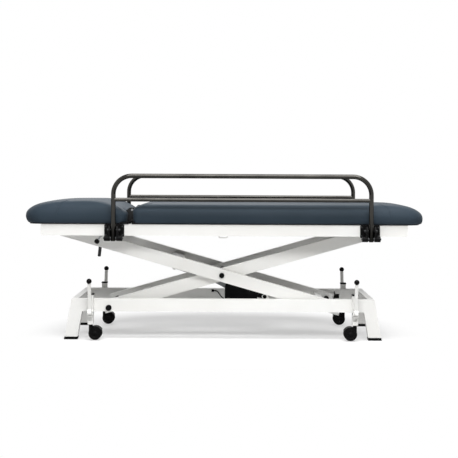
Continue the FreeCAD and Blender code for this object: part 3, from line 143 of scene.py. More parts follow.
# Finishes
def powderCoat(name, dark, light, rough):
    # Polyester powder coat on steel: even colour, satin gloss, a faint orange peel of 1.5 mm
    material, tree, shader, place = newMaterial(name)
    tone = addNode(tree, "ShaderNodeTexNoise", {"Scale": 3.0, "Detail": 3.0}, {"Vector": place})
    peel = addNode(tree, "ShaderNodeTexNoise", {"Scale": 650.0, "Detail": 2.0}, {"Vector": place})
    tree.links.new(twoTones(tree, tone.outputs["Fac"], dark, light, low=0.3, high=0.7),
                   shader.inputs["Base Color"])
    tree.links.new(spread(tree, tone.outputs["Fac"], *rough), shader.inputs["Roughness"])
    setShader(shader, IOR=1.5, Specular_IOR_Level=0.4)
    bump(tree, shader, peel.outputs["Fac"], strength=0.1, distance=0.0003)
    return material


def chromedTube():
    # Bright plate over a drawn steel tube: glossy, with faint lines drawn along the tube; its dark base
    # colour is painted dark reflection of dark surroundings
    material, tree, shader, place = newMaterial("chromed_steel_tube")
    along = addNode(tree, "ShaderNodeMapping", {"Scale": (3.0, 260.0, 260.0)}, {"Vector": place})
    lines = addNode(tree, "ShaderNodeTexNoise", {"Scale": 1.0, "Detail": 2.0},
                    {"Vector": along.outputs["Vector"]})
    tone = addNode(tree, "ShaderNodeTexNoise", {"Scale": 9.0, "Detail": 2.0}, {"Vector": place})
    # dark base colour: painted dark reflection, in place of the dark surroundings that the tube would
    # mirror
    tree.links.new(twoTones(tree, tone.outputs["Fac"], "#383735", "#474643", low=0.3, high=0.7),
                   shader.inputs["Base Color"])
    tree.links.new(spread(tree, lines.outputs["Fac"], low=0.03, high=0.08), shader.inputs["Roughness"])
    setShader(shader, Metallic=1.0)
    bump(tree, shader, lines.outputs["Fac"], strength=0.01, distance=0.0001)
    return material


def zincSteel(name="zinc_plated_steel", dark="#8C8F92", light="#B9BCBF", rough=(0.28, 0.42)):
    # Plated or blackened steel, bright zinc unless told otherwise: soft cloudy patches 6 mm wide
    material, tree, shader, place = newMaterial(name)
    cloud = addNode(tree, "ShaderNodeTexNoise", {"Scale": 160.0, "Detail": 4.0}, {"Vector": place})
    tree.links.new(twoTones(tree, cloud.outputs["Fac"], dark, light, low=0.3, high=0.7),
                   shader.inputs["Base Color"])
    tree.links.new(spread(tree, cloud.outputs["Fac"], *rough), shader.inputs["Roughness"])
    setShader(shader, Metallic=1.0)
    bump(tree, shader, cloud.outputs["Fac"], strength=0.06, distance=0.0002)
    return material


def mouldedPlastic(name, dark, light, rough, grain, depth):
    # Plastic or thread: even colour, a fine grain of the given number of cells to the metre
    material, tree, shader, place = newMaterial(name)
    tone = addNode(tree, "ShaderNodeTexNoise", {"Scale": 25.0, "Detail": 3.0}, {"Vector": place})
    grit = addNode(tree, "ShaderNodeTexNoise", {"Scale": grain, "Detail": 2.0}, {"Vector": place})
    tree.links.new(twoTones(tree, tone.outputs["Fac"], dark, light, low=0.3, high=0.7),
                   shader.inputs["Base Color"])
    tree.links.new(spread(tree, grit.outputs["Fac"], *rough), shader.inputs["Roughness"])
    setShader(shader, IOR=1.46, Specular_IOR_Level=0.1)
    bump(tree, shader, grit.outputs["Fac"], strength=depth, distance=0.0003)
    return material


def treadRubber():
    # Thermoplastic rubber tread: dull black, dusty where it rolls, fine pores
    material, tree, shader, place = newMaterial("castor_rubber")
    dust = addNode(tree, "ShaderNodeTexNoise", {"Scale": 60.0, "Detail": 5.0}, {"Vector": place})
    pores = addNode(tree, "ShaderNodeTexVoronoi", {"Scale": 900.0}, {"Vector": place})
    tree.links.new(twoTones(tree, dust.outputs["Fac"], "#050505", "#101011", low=0.35, high=0.75),
                   shader.inputs["Base Color"])
    tree.links.new(spread(tree, dust.outputs["Fac"], low=0.55, high=0.8), shader.inputs["Roughness"])
    setShader(shader, IOR=1.5, Specular_IOR_Level=0.08)
    bump(tree, shader, pores.outputs["Distance"], strength=0.1, distance=0.0002)
    return material


def upholsteryVinyl():
    # Coated upholstery vinyl over foam: slate blue, satin, a leather grain of cells 1.6 mm wide
    material, tree, shader, place = newMaterial("slate_upholstery_vinyl")
    tone = addNode(tree, "ShaderNodeTexNoise", {"Scale": 2.2, "Detail": 2.0}, {"Vector": place})
    cells = addNode(tree, "ShaderNodeTexVoronoi", {"Scale": 620.0, "feature": "DISTANCE_TO_EDGE"},
                    {"Vector": place})
    crease = addNode(tree, "ShaderNodeTexNoise", {"Scale": 240.0, "Detail": 6.0},
                     {"Vector": place})
    tree.links.new(twoTones(tree, tone.outputs["Fac"], "#2A353E", "#303B45", low=0.35, high=0.65),
                   shader.inputs["Base Color"])
    tree.links.new(spread(tree, crease.outputs["Fac"], low=0.5, high=0.64), shader.inputs["Roughness"])
    setShader(shader, IOR=1.47, Specular_IOR_Level=0.14, Sheen_Weight=0.03, Sheen_Roughness=0.4)
    first = bump(tree, shader, crease.outputs["Fac"], strength=0.1, distance=0.0006)
    grain = addNode(tree, "ShaderNodeBump", {"Strength": 0.18, "Distance": 0.0003},
                    {"Height": cells.outputs["Distance"], "Normal": first.outputs["Normal"]})
    tree.links.new(grain.outputs["Normal"], shader.inputs["Normal"])
    return material


def blackLaminate():
    # Board under the cushions: film-faced plywood, near black with a faint fibre print
    material, tree, shader, place = newMaterial("black_faced_plywood")
    fibre = addNode(tree, "ShaderNodeMapping", {"Scale": (14.0, 160.0, 160.0)}, {"Vector": place})
    grain = addNode(tree, "ShaderNodeTexNoise", {"Scale": 1.0, "Detail": 5.0},
                    {"Vector": fibre.outputs["Vector"]})
    tree.links.new(twoTones(tree, grain.outputs["Fac"], "#08080A", "#131315", low=0.3, high=0.7),
                   shader.inputs["Base Color"])
    setShader(shader, Roughness=0.6, IOR=1.5, Specular_IOR_Level=0.1)
    bump(tree, shader, grain.outputs["Fac"], strength=0.1, distance=0.0003)
    return material


finish = {
    "frame": powderCoat("white_powder_coat", "#ECEBE7", "#F4F4F2", (0.3, 0.42)),
    # Black coat for the hinge parts in the gap between the pads: painted shade, so that the gap reads
    # dark
    "gapShadeBlack": powderCoat("black_coat_painted_gap_shade", "#0B0B0C", "#131314", (0.38, 0.5)),
    "chrome": chromedTube(),
    "zinc": zincSteel(),
    "bolt": zincSteel("blackened_bolt_steel", "#3A3B3C", "#4C4D4E", (0.3, 0.45)),
    "hardChrome": zincSteel("hard_chromed_rod", "#A9ABAD", "#C4C6C8", (0.12, 0.2)),
    "nylon": mouldedPlastic("black_nylon", "#050505", "#0C0C0D", (0.45, 0.6),
                            grain=1400.0, depth=0.12),
    "ball": mouldedPlastic("black_phenolic_ball", "#030303", "#070708", (0.12, 0.22),
                           grain=300.0, depth=0.02),
    "housing": mouldedPlastic("black_motor_housing", "#08080A", "#121214", (0.45, 0.6),
                              grain=1500.0, depth=0.15),
    "sleeve": mouldedPlastic("grey_actuator_tube", "#7C7E80", "#8E9092", (0.35, 0.5),
                             grain=900.0, depth=0.08),
    "grip": mouldedPlastic("grey_handle_grip", "#3A3B3C", "#4C4D4E", (0.45, 0.6),
                           grain=900.0, depth=0.1),
    "sheath": mouldedPlastic("black_cable_sheath", "#0B0B0C", "#161617", (0.4, 0.55),
                             grain=700.0, depth=0.08),
    "rubber": treadRubber(),
    "vinyl": upholsteryVinyl(),
    "thread": mouldedPlastic("polyester_thread", "#1D252C", "#27313A", (0.55, 0.7),
                             grain=2500.0, depth=0.2),
    "board": blackLaminate(),
}

finishOfNode = {
    "frame": ["base_frame", "base_legs", "castor_guides", "inner_arms", "outer_arms", "top_frame"],
    # hinge posts and head frame are made black as painted shade in the gap at the split
    "gapShadeBlack": ["hinge_posts", "head_frame"],
    "chrome": ["side_rail_front", "side_rail_rear"],
    "zinc": ["base_pins", "upper_axles", "outer_arm_pins", "top_pins", "release_lever"],
    "bolt": ["clamp_bolts"],
    "hardChrome": ["actuator_piston", "gas_rod"],
    "nylon": ["foot_caps", "guide_caps", "base_pivot_caps", "travel_stops", "lead_clips",
              "outer_arm_caps", "rail_clamps", "lower_roller_front", "lower_roller_rear",
              "upper_roller_front", "upper_roller_rear"],
    "ball": ["release_knob", "gas_cylinder"],
    "housing": ["actuator_foot", "actuator_motor"],
    "sleeve": ["actuator_sleeve"],
    "grip": ["release_grip"],
    "board": ["body_board", "head_board"],
}
corners = ["front_left", "front_right", "rear_left", "rear_right"]
for corner in corners:
    finishOfNode["frame"] += ["castor_leg_" + corner, "castor_lever_" + corner]
    finishOfNode["nylon"].append("castor_hood_" + corner)
    finishOfNode["ball"].append("castor_knob_" + corner)
    finishOfNode.setdefault("rubber", []).append("castor_wheels_" + corner)

for kind, names in finishOfNode.items():
    for name in names:
        mesh = nodes[name].data
        mesh.materials.clear()
        mesh.materials.append(finish[kind])
print("finishes on CAD nodes:", sum(len(names) for names in finishOfNode.values()))


# Mesh helpers
def shade(mesh, smooth=True):
    mesh.polygons.foreach_set("use_smooth", [smooth] * len(mesh.polygons))


def addMesh(name, vertices, faces, material, smooth=True):
    mesh = bpy.data.meshes.new(name)
    mesh.from_pydata(vertices, [], faces)
    mesh.materials.append(material)
    made = bpy.data.objects.new(name, mesh)
    scene.collection.objects.link(made)
    shade(mesh, smooth)
    return made


def ringFaces(rows, count, first=0):
    # Quads between neighbouring rings that have the same number of points
    faces = []
    for row in range(rows - 1):
        low, high = first + row * count, first + (row + 1) * count
        for i in range(count):
            j = (i + 1) % count
            faces.append((low + i, low + j, high + j, high + i))
    return faces


def closedRings(rows, count):
    # The same quads, then a cap on the first and on the last ring
    caps = [tuple(range(count))[::-1], tuple(range((rows - 1) * count, rows * count))]
    return ringFaces(rows, count) + caps


def faceOut(piece, merge=0.0):
    # Turns all faces outwards, after points closer than merge have become one
    form = bmesh.new()
    form.from_mesh(piece.data)
    if merge:
        bmesh.ops.remove_doubles(form, verts=form.verts, dist=merge)
    bmesh.ops.recalc_face_normals(form, faces=form.faces)
    form.to_mesh(piece.data)
    form.free()
    return piece


def evaluated(piece):
    # The mesh that the live modifiers give, with the modifiers gone
    graph = bpy.context.evaluated_depsgraph_get()
    graph.update()
    fixed = bpy.data.meshes.new_from_object(piece.evaluated_get(graph))
    piece.modifiers.clear()
    old = piece.data
    piece.data = fixed
    if old.users == 0:
        bpy.data.meshes.remove(old)
    return piece


# Actuator lead: from the clip on the rear base rail, down, and into the gland of the cross member
lead = {
    "length": 0.335,
    "diameter": 0.006,
    "roundSteps": 4,
    "curveOrder": 3,
    "curveSteps": 12,
    "route": [(-0.052, 0.1915, 0.184), (-0.036, 0.1915, 0.184), (-0.024, 0.1635, 0.174),
              (-0.010, 0.1295, 0.156), (0.028, 0.0935, 0.138), (0.080, 0.0715, 0.131),
              (0.132, 0.065, 0.138), (0.176, 0.062, 0.149), (0.218, 0.062, 0.149)],
}


def makeLead():
    data = bpy.data.curves.new("lead", "CURVE")
    data.dimensions = "3D"
    data.bevel_depth = lead["diameter"] / 2
    data.bevel_resolution = lead["roundSteps"]
    data.use_fill_caps = True
    data.materials.append(finish["sheath"])
    line = data.splines.new("NURBS")
    line.points.add(len(lead["route"]) - 1)
    for point, place in zip(line.points, lead["route"]):
        point.co = (*place, 1.0)
    line.order_u = lead["curveOrder"]
    line.use_endpoint_u = True
    line.resolution_u = lead["curveSteps"]
    piece = bpy.data.objects.new("lead", data)
    scene.collection.objects.link(piece)
    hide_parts("actuator_lead")
    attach(piece, bodyOf["actuator_lead"])


makeLead()
print("lead placed")


# Cushions: foam and vinyl wrapped round the board, a long rounded outer end, a lip at the split
cushionShape = {
    "bottom": 0.5549,
    "halfWidth": 0.3075,
    "cornerRadius": 0.085,
    "wallRound": 2.35,        # 2 gives an elliptic rounding to the top, more gives a fuller one
    "sideTuck": 0.007,
    "sideWidest": 0.583,      # height of the fullest line of the long sides
    "sideReach": 0.060,       # rounding from the side wall to the top
    "crown": 0.003,           # rise of the top from its edge to its middle
    "rings": 16,
    "straightSteps": 24,      # along each long side
    "splitStep": 15,          # degrees between the points of a corner at the split
    "endStep": 9,             # and of one at the outer end
    "voxel": 0.009,
    "clothFrames": 16,
    "cap": 0.006,             # most that a point may swell
    "levelShare": 0.4,        # share of the swelling that is kept along X and Y
    "liftOver": 0.02,         # height above the board over which the rise sets in
    "smoothPasses": 3,
    "smoothFactor": 0.5,
    "lipTuck": 0.006,         # how far the wall at the split falls back towards the board
    "body": {"split": -0.4305, "end": 0.9535, "top": 0.6395, "endReach": 0.155, "endTuck": 0.006,
             "widest": 0.580, "lipHeight": 0.622, "lipReach": 0.075, "lipRound": 2.0,
             "splitCorner": 0.022},
    "head": {"split": -0.4520, "end": -0.9450, "top": 0.6562, "endReach": 0.222, "endTuck": 0.014,
             "widest": 0.590, "lipHeight": 0.601, "lipReach": 0.150, "lipRound": 1.35,
             "splitCorner": 0.048},
}

clothSettings = {
    "quality": 4,
    "mass": 0.3,
    "use_pressure": True,
    "uniform_pressure_force": 4.0,
    "tension_stiffness": 15,
    "compression_stiffness": 15,
    "bending_stiffness": 2,
}


def cushionRings(part):
    # One tuple for each ring: height, then the insets at the outer end, the sides and the split
    shape = cushionShape
    low, top = shape["bottom"], part["top"]

    def wall(height, widest, tuck, reach):
        if height < widest:
            share = (widest - height) / (widest - low)
            return tuck * share ** 2
        share = (height - widest) / (top - widest)
        power = shape["wallRound"]
        return reach * (1 - max(0.0, 1 - share ** power) ** (1 / power))

    rings = []
    for step in range(shape["rings"] + 1):
        height = low + (top - low) * math.sin(math.radians(90 * step / shape["rings"]))
        lip = shape["lipTuck"] * max(0.0, (part["lipHeight"] - height) / (part["lipHeight"] - low))
        if height > part["lipHeight"]:
            share = (height - part["lipHeight"]) / (top - part["lipHeight"])
            power = part["lipRound"]
            lip = part["lipReach"] * (1 - max(0.0, 1 - share ** power) ** (1 / power))
        rings.append((height, wall(height, part["widest"], part["endTuck"], part["endReach"]),
                      wall(height, shape["sideWidest"], shape["sideTuck"], shape["sideReach"]), lip))
    return rings


def ringPoints(part, height, endInset, sideInset, lipInset):
    outward = 1 if part["end"] > part["split"] else -1
    end = part["end"] - outward * endInset
    split = part["split"] + outward * lipInset
    half = cushionShape["halfWidth"] - sideInset
    outer, inner = cushionShape["cornerRadius"], part["splitCorner"]
    innerTurn = [math.radians(d) for d in range(0, 91, cushionShape["splitStep"])]
    outerTurn = [math.radians(d) for d in range(0, 91, cushionShape["endStep"])]
    steps = cushionShape["straightSteps"]
    straightLong = end - outward * outer - split - outward * inner
    points = []
    for sideSign, order in ((-1, 1), (1, -1)):
        innerCorner = [(split + outward * (inner - inner * math.cos(a)),
                        sideSign * (half - inner + inner * math.sin(a))) for a in innerTurn]
        straight = [(split + outward * inner + straightLong * i / steps, sideSign * half)
                    for i in range(1, steps)]
        outerCorner = [(end - outward * (outer - outer * math.sin(a)),
                        sideSign * (half - outer + outer * math.cos(a))) for a in outerTurn]
        points += (innerCorner + straight + outerCorner)[::order]
    return [(x, y, height) for x, y in points]


def cushionForm(name, part):
    rings = [ringPoints(part, *ring) for ring in cushionRings(part)]
    vertices = [point for ring in rings for point in ring]
    faces = closedRings(len(rings), len(rings[0]))
    return faceOut(addMesh(name, vertices, faces, finish["vinyl"]))


def crowned(piece, part):
    # Lifts the flat top a little towards its middle line, as full foam stands
    half, low = cushionShape["halfWidth"], part["lipHeight"]
    for vertex in piece.data.vertices:
        rise = (vertex.co.z - low) / (part["top"] - low)
        if rise > 0:
            across = 1 - min(1.0, abs(vertex.co.y) / half) ** 2
            vertex.co.z += cushionShape["crown"] * rise ** 2 * across


def swell(piece):
    # Cloth pressure rounds the foam form a little, then the piece is made smooth and plain
    shape = cushionShape
    remesh = piece.modifiers.new("remesh", "REMESH")
    remesh.mode = "VOXEL"
    remesh.voxel_size = shape["voxel"]
    evaluated(piece)
    before = [v.co.copy() for v in piece.data.vertices]
    cloth = piece.modifiers.new("cloth", "CLOTH")
    for name, value in clothSettings.items():
        setattr(cloth.settings, name, value)
    cloth.settings.effector_weights.gravity = 0
    cloth.collision_settings.use_collision = False
    for step in range(1, shape["clothFrames"] + 1):
        scene.frame_set(step)
    evaluated(piece)
    scene.frame_set(1)
    for vertex, start in zip(piece.data.vertices, before):
        move = vertex.co - start
        if move.length > shape["cap"]:
            move.length = shape["cap"]
        lift = min(1.0, max(0.0, (start.z - shape["bottom"]) / shape["liftOver"]))
        move.x *= shape["levelShare"]
        move.y *= shape["levelShare"]
        move.z *= lift
        vertex.co = start + move
    form = bmesh.new()
    form.from_mesh(piece.data)
    for _ in range(shape["smoothPasses"]):
        bmesh.ops.smooth_vert(form, verts=form.verts, factor=shape["smoothFactor"],
                              use_axis_x=True, use_axis_y=True, use_axis_z=True)
    form.to_mesh(piece.data)
    form.free()
    piece.modifiers.new("subdivision", "SUBSURF").levels = 1
    piece.modifiers["subdivision"].render_levels = 1
    evaluated(piece)
    shade(piece.data)


# Slots in both cushions for the two hinges at the split
hingeSlot = {
    "aside": 0.2,             # from the middle line to the middle of a slot
    "halfWidth": 0.0095,
    "heights": (0.55, 0.6315),
    "body": (-0.45, -0.393),
    "head": (-0.4835, -0.43),
}


def openSlots(piece, ends):
    half = hingeSlot["halfWidth"]
    for sign in (-1, 1):
        points = [(x, sign * hingeSlot["aside"] + y, z) for x in ends for y in (-half, half)
                  for z in hingeSlot["heights"]]
        quads = [(0, 1, 3, 2), (4, 6, 7, 5), (0, 4, 5, 1), (2, 3, 7, 6), (0, 2, 6, 4), (1, 5, 7, 3)]
        tool = addMesh("slot_tool", points, quads, finish["vinyl"], False)
        cut = piece.modifiers.new("slot", "BOOLEAN")
        cut.operation = "DIFFERENCE"
        cut.solver = "EXACT"
        cut.object = tool
        evaluated(piece)
        bpy.data.objects.remove(tool)


cushions = {}
for label in ("body", "head"):
    piece = cushionForm(label + "_pad", cushionShape[label])
    swell(piece)
    crowned(piece, cushionShape[label])
    openSlots(piece, hingeSlot[label])
    cushions[label] = piece
    print("cushion", label, len(piece.data.polygons), "faces")


# Seams: a thin cord over each corner of a cushion, half sunk in its skin. A fan of rays, shot from
# outside at a centre inside the corner, finds the skin, and the cord follows the points they hit.
seamShape = {
    "radius": 0.0011,
    "proud": 0.0002,
    "sides": 8,
    "tipSize": 0.35,          # share of the radius at both tips
    "tipSteps": 3,
    "rayStart": 0.6,          # distance from the centre at which a ray starts
    "farthest": 0.4,          # a hit beyond this is on another part of the cushion
    "degreeStep": 2,
    "leastPoints": 5,
    "split": {"along": 0.12, "aside": 0.12, "height": 0.6, "turn": 1, "degrees": (-12, 52)},
    "end": {"along": 0.25, "aside": 0.14, "height": 0.585, "turn": 0.62, "degrees": (2, 46)},
}


def skinPoint(piece, origin, direction):
    hit, place, normal, _ = piece.ray_cast(Vector(origin), Vector(direction).normalized())
    return (place, normal) if hit else (None, None)


def seamPath(piece, part, sideSign, where):
    # Skin points up one corner, at the split or at the outer end, from the wall to the flat top
    fan = seamShape[where]
    sense = 1 if part["end"] > part["split"] else -1
    if where == "split":
        sense = -sense
    centre = Vector((part[where] - sense * fan["along"],
                     sideSign * (cushionShape["halfWidth"] - fan["aside"]), fan["height"]))
    aim = Vector((sense * fan["turn"], sideSign, 0)).normalized()
    path = []
    for degrees in range(*fan["degrees"], seamShape["degreeStep"]):
        angle = math.radians(degrees)
        ray = aim * math.cos(angle) + Vector((0, 0, math.sin(angle)))
        place, normal = skinPoint(piece, centre + ray * seamShape["rayStart"], -ray)
        if place is not None and (place - centre).length < seamShape["farthest"]:
            path.append((place + normal * seamShape["proud"], normal))
    return path


def seamTube(name, points, material):
    # A round tube through the points, thinner at both tips
    vertices, sides, last = [], seamShape["sides"], len(points) - 1
    tip, steps = seamShape["tipSize"], seamShape["tipSteps"]
    for i, (place, normal) in enumerate(points):
        ahead = points[min(i + 1, last)][0] - points[max(i - 1, 0)][0]
        ahead.normalize()
        side = ahead.cross(normal).normalized()
        up = side.cross(ahead)
        size = seamShape["radius"] * min(1.0, tip + i / steps, tip + (last - i) / steps)
        for k in range(sides):
            angle = 2 * math.pi * k / sides
            vertices.append(place + side * size * math.cos(angle) + up * size * math.sin(angle))
    return faceOut(addMesh(name, vertices, closedRings(len(points), sides), material))


def joined(name, pieces):
    with bpy.context.temp_override(active_object=pieces[0], selected_editable_objects=pieces):
        bpy.ops.object.join()
    pieces[0].name = name
    return pieces[0]


seamPaths = {}
for label, piece in cushions.items():
    body = bodyOf[label + "_cushion"]
    lines = []
    seamPaths[label] = []
    for sideSign in (-1, 1):
        for where in ("split", "end"):
            path = seamPath(piece, cushionShape[label], sideSign, where)
            if len(path) >= seamShape["leastPoints"]:
                seamPaths[label].append(path)
                lines.append(seamTube("seam", path, finish["vinyl"]))
    seams = joined(label + "_seams", lines)
    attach(seams, body)
    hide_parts(label + "_cushion")
    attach(piece, body)
print("seams placed")


# Repeated details by geometry nodes: stitches beside the seams, ribs on the castor hubs
stitchShape = {
    "step": 0.0068,
    "long": 0.0044,
    "thick": 0.0009,
    "aside": 0.0045,          # from the seam to the row on each side
    "probe": 0.02,            # height above the skin from which a ray finds it
    "bareTips": 2,            # points of the seam without stitches at each tip
}
hubShape = {
    "sides": 36,
    "sunk": 0.0002,           # depth of the discs in the wheels' faces
    "merge": 0.00001,
    "ribCount": 9,
    "ribLong": 0.0125,
    "ribWide": 0.0022,
    "ribHigh": 0.0012,
    "ribMiddle": 0.0145,      # distance of a rib's middle from the axle
    "ribProud": 0.0009,       # and from the wheel's face
    "profile": [(0.0225, 0.0), (0.0225, 0.0012), (0.0212, 0.0016), (0.0205, 0.0006),
                (0.0082, 0.0006), (0.0075, 0.0022), (0.0062, 0.0028), (0.0, 0.0030)],
}


def groupWith(name, sockets):
    # A node group with geometry in and out and the named inputs; returns it and both end nodes
    group = bpy.data.node_groups.new(name, "GeometryNodeTree")
    group.interface.new_socket("Geometry", in_out="INPUT", socket_type="NodeSocketGeometry")
    for label, kind in sockets:
        group.interface.new_socket(label, in_out="INPUT", socket_type=kind)
    group.interface.new_socket("Geometry", in_out="OUTPUT", socket_type="NodeSocketGeometry")
    return group, addNode(group, "NodeGroupInput").outputs, addNode(group, "NodeGroupOutput")


def finishGroup(group, end, given, instances):
    whole = addNode(group, "GeometryNodeRealizeInstances", links={"Geometry": instances})
    coated = addNode(group, "GeometryNodeSetMaterial", links={
        "Geometry": whole.outputs["Geometry"], "Material": given["Material"]})
    group.links.new(coated.outputs["Geometry"], end.inputs["Geometry"])
    return group


def stitchGroup():
    group, given, end = groupWith("stitch_row", [
        ("Step", "NodeSocketFloat"), ("Long", "NodeSocketFloat"), ("Thick", "NodeSocketFloat"),
        ("Material", "NodeSocketMaterial")])
    line = addNode(group, "GeometryNodeMeshToCurve", links={"Mesh": given["Geometry"]})
    spots = addNode(group, "GeometryNodeCurveToPoints", {"mode": "LENGTH"},
                    {"Curve": line.outputs["Curve"], "Length": given["Step"]})
    bead = addNode(group, "GeometryNodeMeshUVSphere", {"Segments": 8, "Rings": 6, "Radius": 0.5})
    size = addNode(group, "ShaderNodeCombineXYZ", links={
        "X": given["Thick"], "Y": given["Thick"], "Z": given["Long"]})
    placed = addNode(group, "GeometryNodeInstanceOnPoints", links={
        "Points": spots.outputs["Points"], "Instance": bead.outputs["Mesh"],
        "Rotation": spots.outputs["Rotation"], "Scale": size.outputs["Vector"]})
    return finishGroup(group, end, given, placed.outputs["Instances"])


def ribGroup():
    group, given, end = groupWith("hub_ribs", [
        ("Long", "NodeSocketFloat"), ("Wide", "NodeSocketFloat"), ("High", "NodeSocketFloat"),
        ("Material", "NodeSocketMaterial")])
    outward = addNode(group, "GeometryNodeInputNamedAttribute", {"data_type": "FLOAT_VECTOR",
                                                                 "Name": "outward"})
    block = addNode(group, "GeometryNodeMeshCube", {"Size": (1.0, 1.0, 1.0)})
    size = addNode(group, "ShaderNodeCombineXYZ", links={
        "X": given["Wide"], "Y": given["High"], "Z": given["Long"]})
    turned = addNode(group, "FunctionNodeAxesToRotation", {"primary_axis": "Z", "secondary_axis": "Y",
                                                           "Secondary Axis": (0.0, 1.0, 0.0)},
                     {"Primary Axis": outward.outputs["Attribute"]})
    placed = addNode(group, "GeometryNodeInstanceOnPoints", links={
        "Points": given["Geometry"], "Instance": block.outputs["Mesh"],
        "Rotation": turned.outputs["Rotation"], "Scale": size.outputs["Vector"]})
    return finishGroup(group, end, given, placed.outputs["Instances"])


def grown(piece, group, values):
    # Runs a node group on a piece with the given inputs and leaves the plain mesh it makes
    modifier = piece.modifiers.new(group.name, "NODES")
    modifier.node_group = group
    for socket in group.interface.items_tree:
        if socket.in_out == "INPUT" and socket.name in values:
            modifier[socket.identifier] = values[socket.name]
    return evaluated(piece)


def stitchLines(label):
    # Lines beside each seam of a cushion, as one mesh of edges on its skin
    vertices, edges, bare = [], [], stitchShape["bareTips"]
    for path in seamPaths[label]:
        for side in (-1, 1):
            first = len(vertices)
            for i, (place, normal) in enumerate(path[bare:-bare], bare):
                across = (path[i + 1][0] - path[i - 1][0]).cross(normal).normalized()
                aside = place + across * side * stitchShape["aside"] + normal * stitchShape["probe"]
                spot, _ = skinPoint(cushions[label], aside, -normal)
                if spot is not None:
                    vertices.append(spot)
            edges += [(i, i + 1) for i in range(first, len(vertices) - 1)]
    mesh = bpy.data.meshes.new(label + "_stitches")
    mesh.from_pydata(vertices, edges, [])
    piece = bpy.data.objects.new(label + "_stitches", mesh)
    scene.collection.objects.link(piece)
    return piece


def hubPiece(corner, tree):
    # Hub discs with radial ribs on the outer faces of the two wheels of a castor
    low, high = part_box("castor_wheels_" + corner)
    axleX, axleZ = (low[0] + high[0]) / 2, (low[2] + high[2]) / 2
    profile, sides = hubShape["profile"], hubShape["sides"]
    middle, count = hubShape["ribMiddle"], hubShape["ribCount"]
    vertices, faces, pins, outwards = [], [], [], []
    for side, faceY in ((-1, low[1]), (1, high[1])):
        first = len(vertices)
        for radius, proud in profile:
            for k in range(sides):
                angle = 2 * math.pi * k / sides
                vertices.append((axleX + radius * math.cos(angle),
                                 faceY + side * (proud - hubShape["sunk"]),
                                 axleZ + radius * math.sin(angle)))
        faces += ringFaces(len(profile), sides, first)
        faces.append(tuple(range(first, first + sides)))
        for k in range(count):
            angle = 2 * math.pi * k / count
            ray = (math.cos(angle), 0.0, math.sin(angle))
            pins.append((axleX + ray[0] * middle, faceY + side * hubShape["ribProud"],
                         axleZ + ray[2] * middle))
            outwards.append(ray)
    discs = addMesh("castor_hub_" + corner, vertices, faces, finish["nylon"])
    faceOut(discs, hubShape["merge"])
    mesh = bpy.data.meshes.new("hub_pins")
    mesh.from_pydata([Vector(pin) for pin in pins], [], [])
    stored = mesh.attributes.new("outward", "FLOAT_VECTOR", "POINT")
    stored.data.foreach_set("vector", [v for ray in outwards for v in ray])
    ribs = bpy.data.objects.new("hub_ribs", mesh)
    scene.collection.objects.link(ribs)
    grown(ribs, tree, {"Long": hubShape["ribLong"], "Wide": hubShape["ribWide"],
                       "High": hubShape["ribHigh"], "Material": finish["nylon"]})
    return joined("castor_hub_" + corner, [discs, ribs])


stitchTree = stitchGroup()
ribTree = ribGroup()
for label in cushions:
    rows = grown(stitchLines(label), stitchTree, {
        "Step": stitchShape["step"], "Long": stitchShape["long"], "Thick": stitchShape["thick"],
        "Material": finish["thread"]})
    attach(rows, bodyOf[label + "_cushion"])
for corner in corners:
    hub = hubPiece(corner, ribTree)
    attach(hub, bodyOf["castor_wheels_" + corner])
print("stitches and hubs placed")


# Studio: pale paper that fades to white, a strip overhead, a broad key in front, a weak lamp behind
studio = {
    "overhead": {"place": (0.35, -1.0, 3.0), "size": (3.0, 0.6), "power": 80, "aim": (0.1, -0.2, 0.5)},
    "front": {"place": (0.3, -3.3, 2.8), "size": (3.4, 1.0), "power": 96, "aim": (0, 0, 0.35)},
    "rear": {"place": (-0.6, 3.4, 2.4), "size": (3.0, 1.4), "power": 26, "aim": (0, 0, 0.4)},
    "fill": 0.27,
    "floorNear": (0.62, 0.55),     # half axes of the floor that shows the shadow
    "floorFade": 0.65,
    "floorHalf": 9.0,
    "floorGlow": 0.4,              # white that the camera sees on top of the grey paper
}


def addLamp(name, place, size, power, aim):
    data = bpy.data.lights.new(name, "AREA")
    data.shape = "RECTANGLE"
    data.size, data.size_y = size
    data.energy = power
    lamp = bpy.data.objects.new(name, data)
    lamp.location = place
    lamp.rotation_euler = (Vector(aim) - Vector(place)).to_track_quat("-Z", "Y").to_euler()
    scene.collection.objects.link(lamp)


def makeWorld():
    # Plain white to the camera and in metal and glass, a low fill on everything else
    world = bpy.data.worlds.new("studio")
    scene.world = world
    world.use_nodes = True
    tree = world.node_tree
    tree.nodes.clear()
    ray = addNode(tree, "ShaderNodeLightPath").outputs
    shown = addNode(tree, "ShaderNodeMath", {"operation": "MAXIMUM"},
                    {0: ray["Is Glossy Ray"], 1: ray["Is Transmission Ray"]})
    shown = addNode(tree, "ShaderNodeMath", {"operation": "MAXIMUM"},
                    {0: ray["Is Camera Ray"], 1: shown.outputs[0]})
    fill = addNode(tree, "ShaderNodeBackground", {"Color": srgb("#FFFFFF"), "Strength": studio["fill"]})
    seen = addNode(tree, "ShaderNodeBackground", {"Color": srgb("#FFFFFF"), "Strength": 1.0})
    both = addNode(tree, "ShaderNodeMixShader", links={
        "Fac": shown.outputs[0], 1: fill.outputs[0], 2: seen.outputs[0]})
    addNode(tree, "ShaderNodeOutputWorld", links={"Surface": both.outputs[0]})


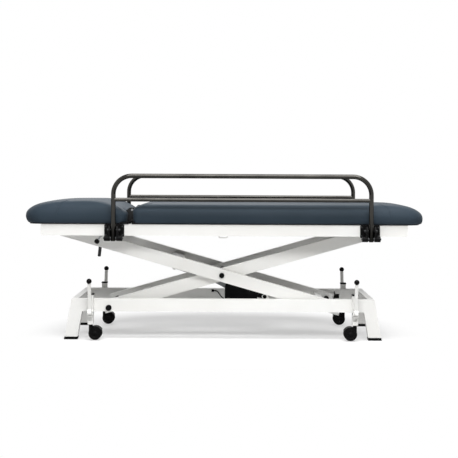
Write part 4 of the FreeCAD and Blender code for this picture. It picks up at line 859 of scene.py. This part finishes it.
def makeFloor():
    # Matt pale paper near the table, fading into the white background further off
    material, tree, shader, place = newMaterial("studio_floor_paper")
    tone = addNode(tree, "ShaderNodeTexNoise", {"Scale": 1.5}, {"Vector": place})
    tree.links.new(twoTones(tree, tone.outputs["Fac"], "#C6C6C6", "#CACACA"),
                   shader.inputs["Base Color"])
    setShader(shader, Roughness=0.9, Specular_IOR_Level=0.1)
    half = studio["floorNear"]
    oval = addNode(tree, "ShaderNodeMapping", {"Scale": (1 / half[0], 1 / half[1], 1.0)},
                   {"Vector": place})
    reach = addNode(tree, "ShaderNodeVectorMath", {"operation": "LENGTH"},
                    {0: oval.outputs["Vector"]})
    fade = addNode(tree, "ShaderNodeMapRange", {
        "interpolation_type": "SMOOTHSTEP", "From Min": 1.0, "From Max": 1.0 + studio["floorFade"]},
        {"Value": reach.outputs["Value"]})
    ray = addNode(tree, "ShaderNodeLightPath").outputs
    glow = addNode(tree, "ShaderNodeMath", {"operation": "MULTIPLY", 1: studio["floorGlow"]},
                   {0: ray["Is Camera Ray"]})
    share = addNode(tree, "ShaderNodeMath", {"operation": "MULTIPLY"},
                    {0: ray["Is Camera Ray"], 1: fade.outputs["Result"]})
    lit = addNode(tree, "ShaderNodeEmission", {"Color": srgb("#FFFFFF")},
                  {"Strength": glow.outputs[0]})
    near = addNode(tree, "ShaderNodeAddShader", links={0: shader.outputs[0], 1: lit.outputs[0]})
    white = addNode(tree, "ShaderNodeEmission", {"Color": srgb("#FFFFFF"), "Strength": 1.0})
    both = addNode(tree, "ShaderNodeMixShader", links={
        "Fac": share.outputs[0], 1: near.outputs[0], 2: white.outputs[0]})
    output = [n for n in tree.nodes if n.type == "OUTPUT_MATERIAL"][0]
    tree.links.new(both.outputs[0], output.inputs["Surface"])
    far = studio["floorHalf"]
    floor = addMesh("floor", [(-far, -far, 0), (far, -far, 0), (far, far, 0), (-far, far, 0)],
                    [(0, 1, 2, 3)], material, False)


for name in ("overhead", "front", "rear"):
    addLamp(name, **studio[name])
makeWorld()
makeFloor()
print("studio built")
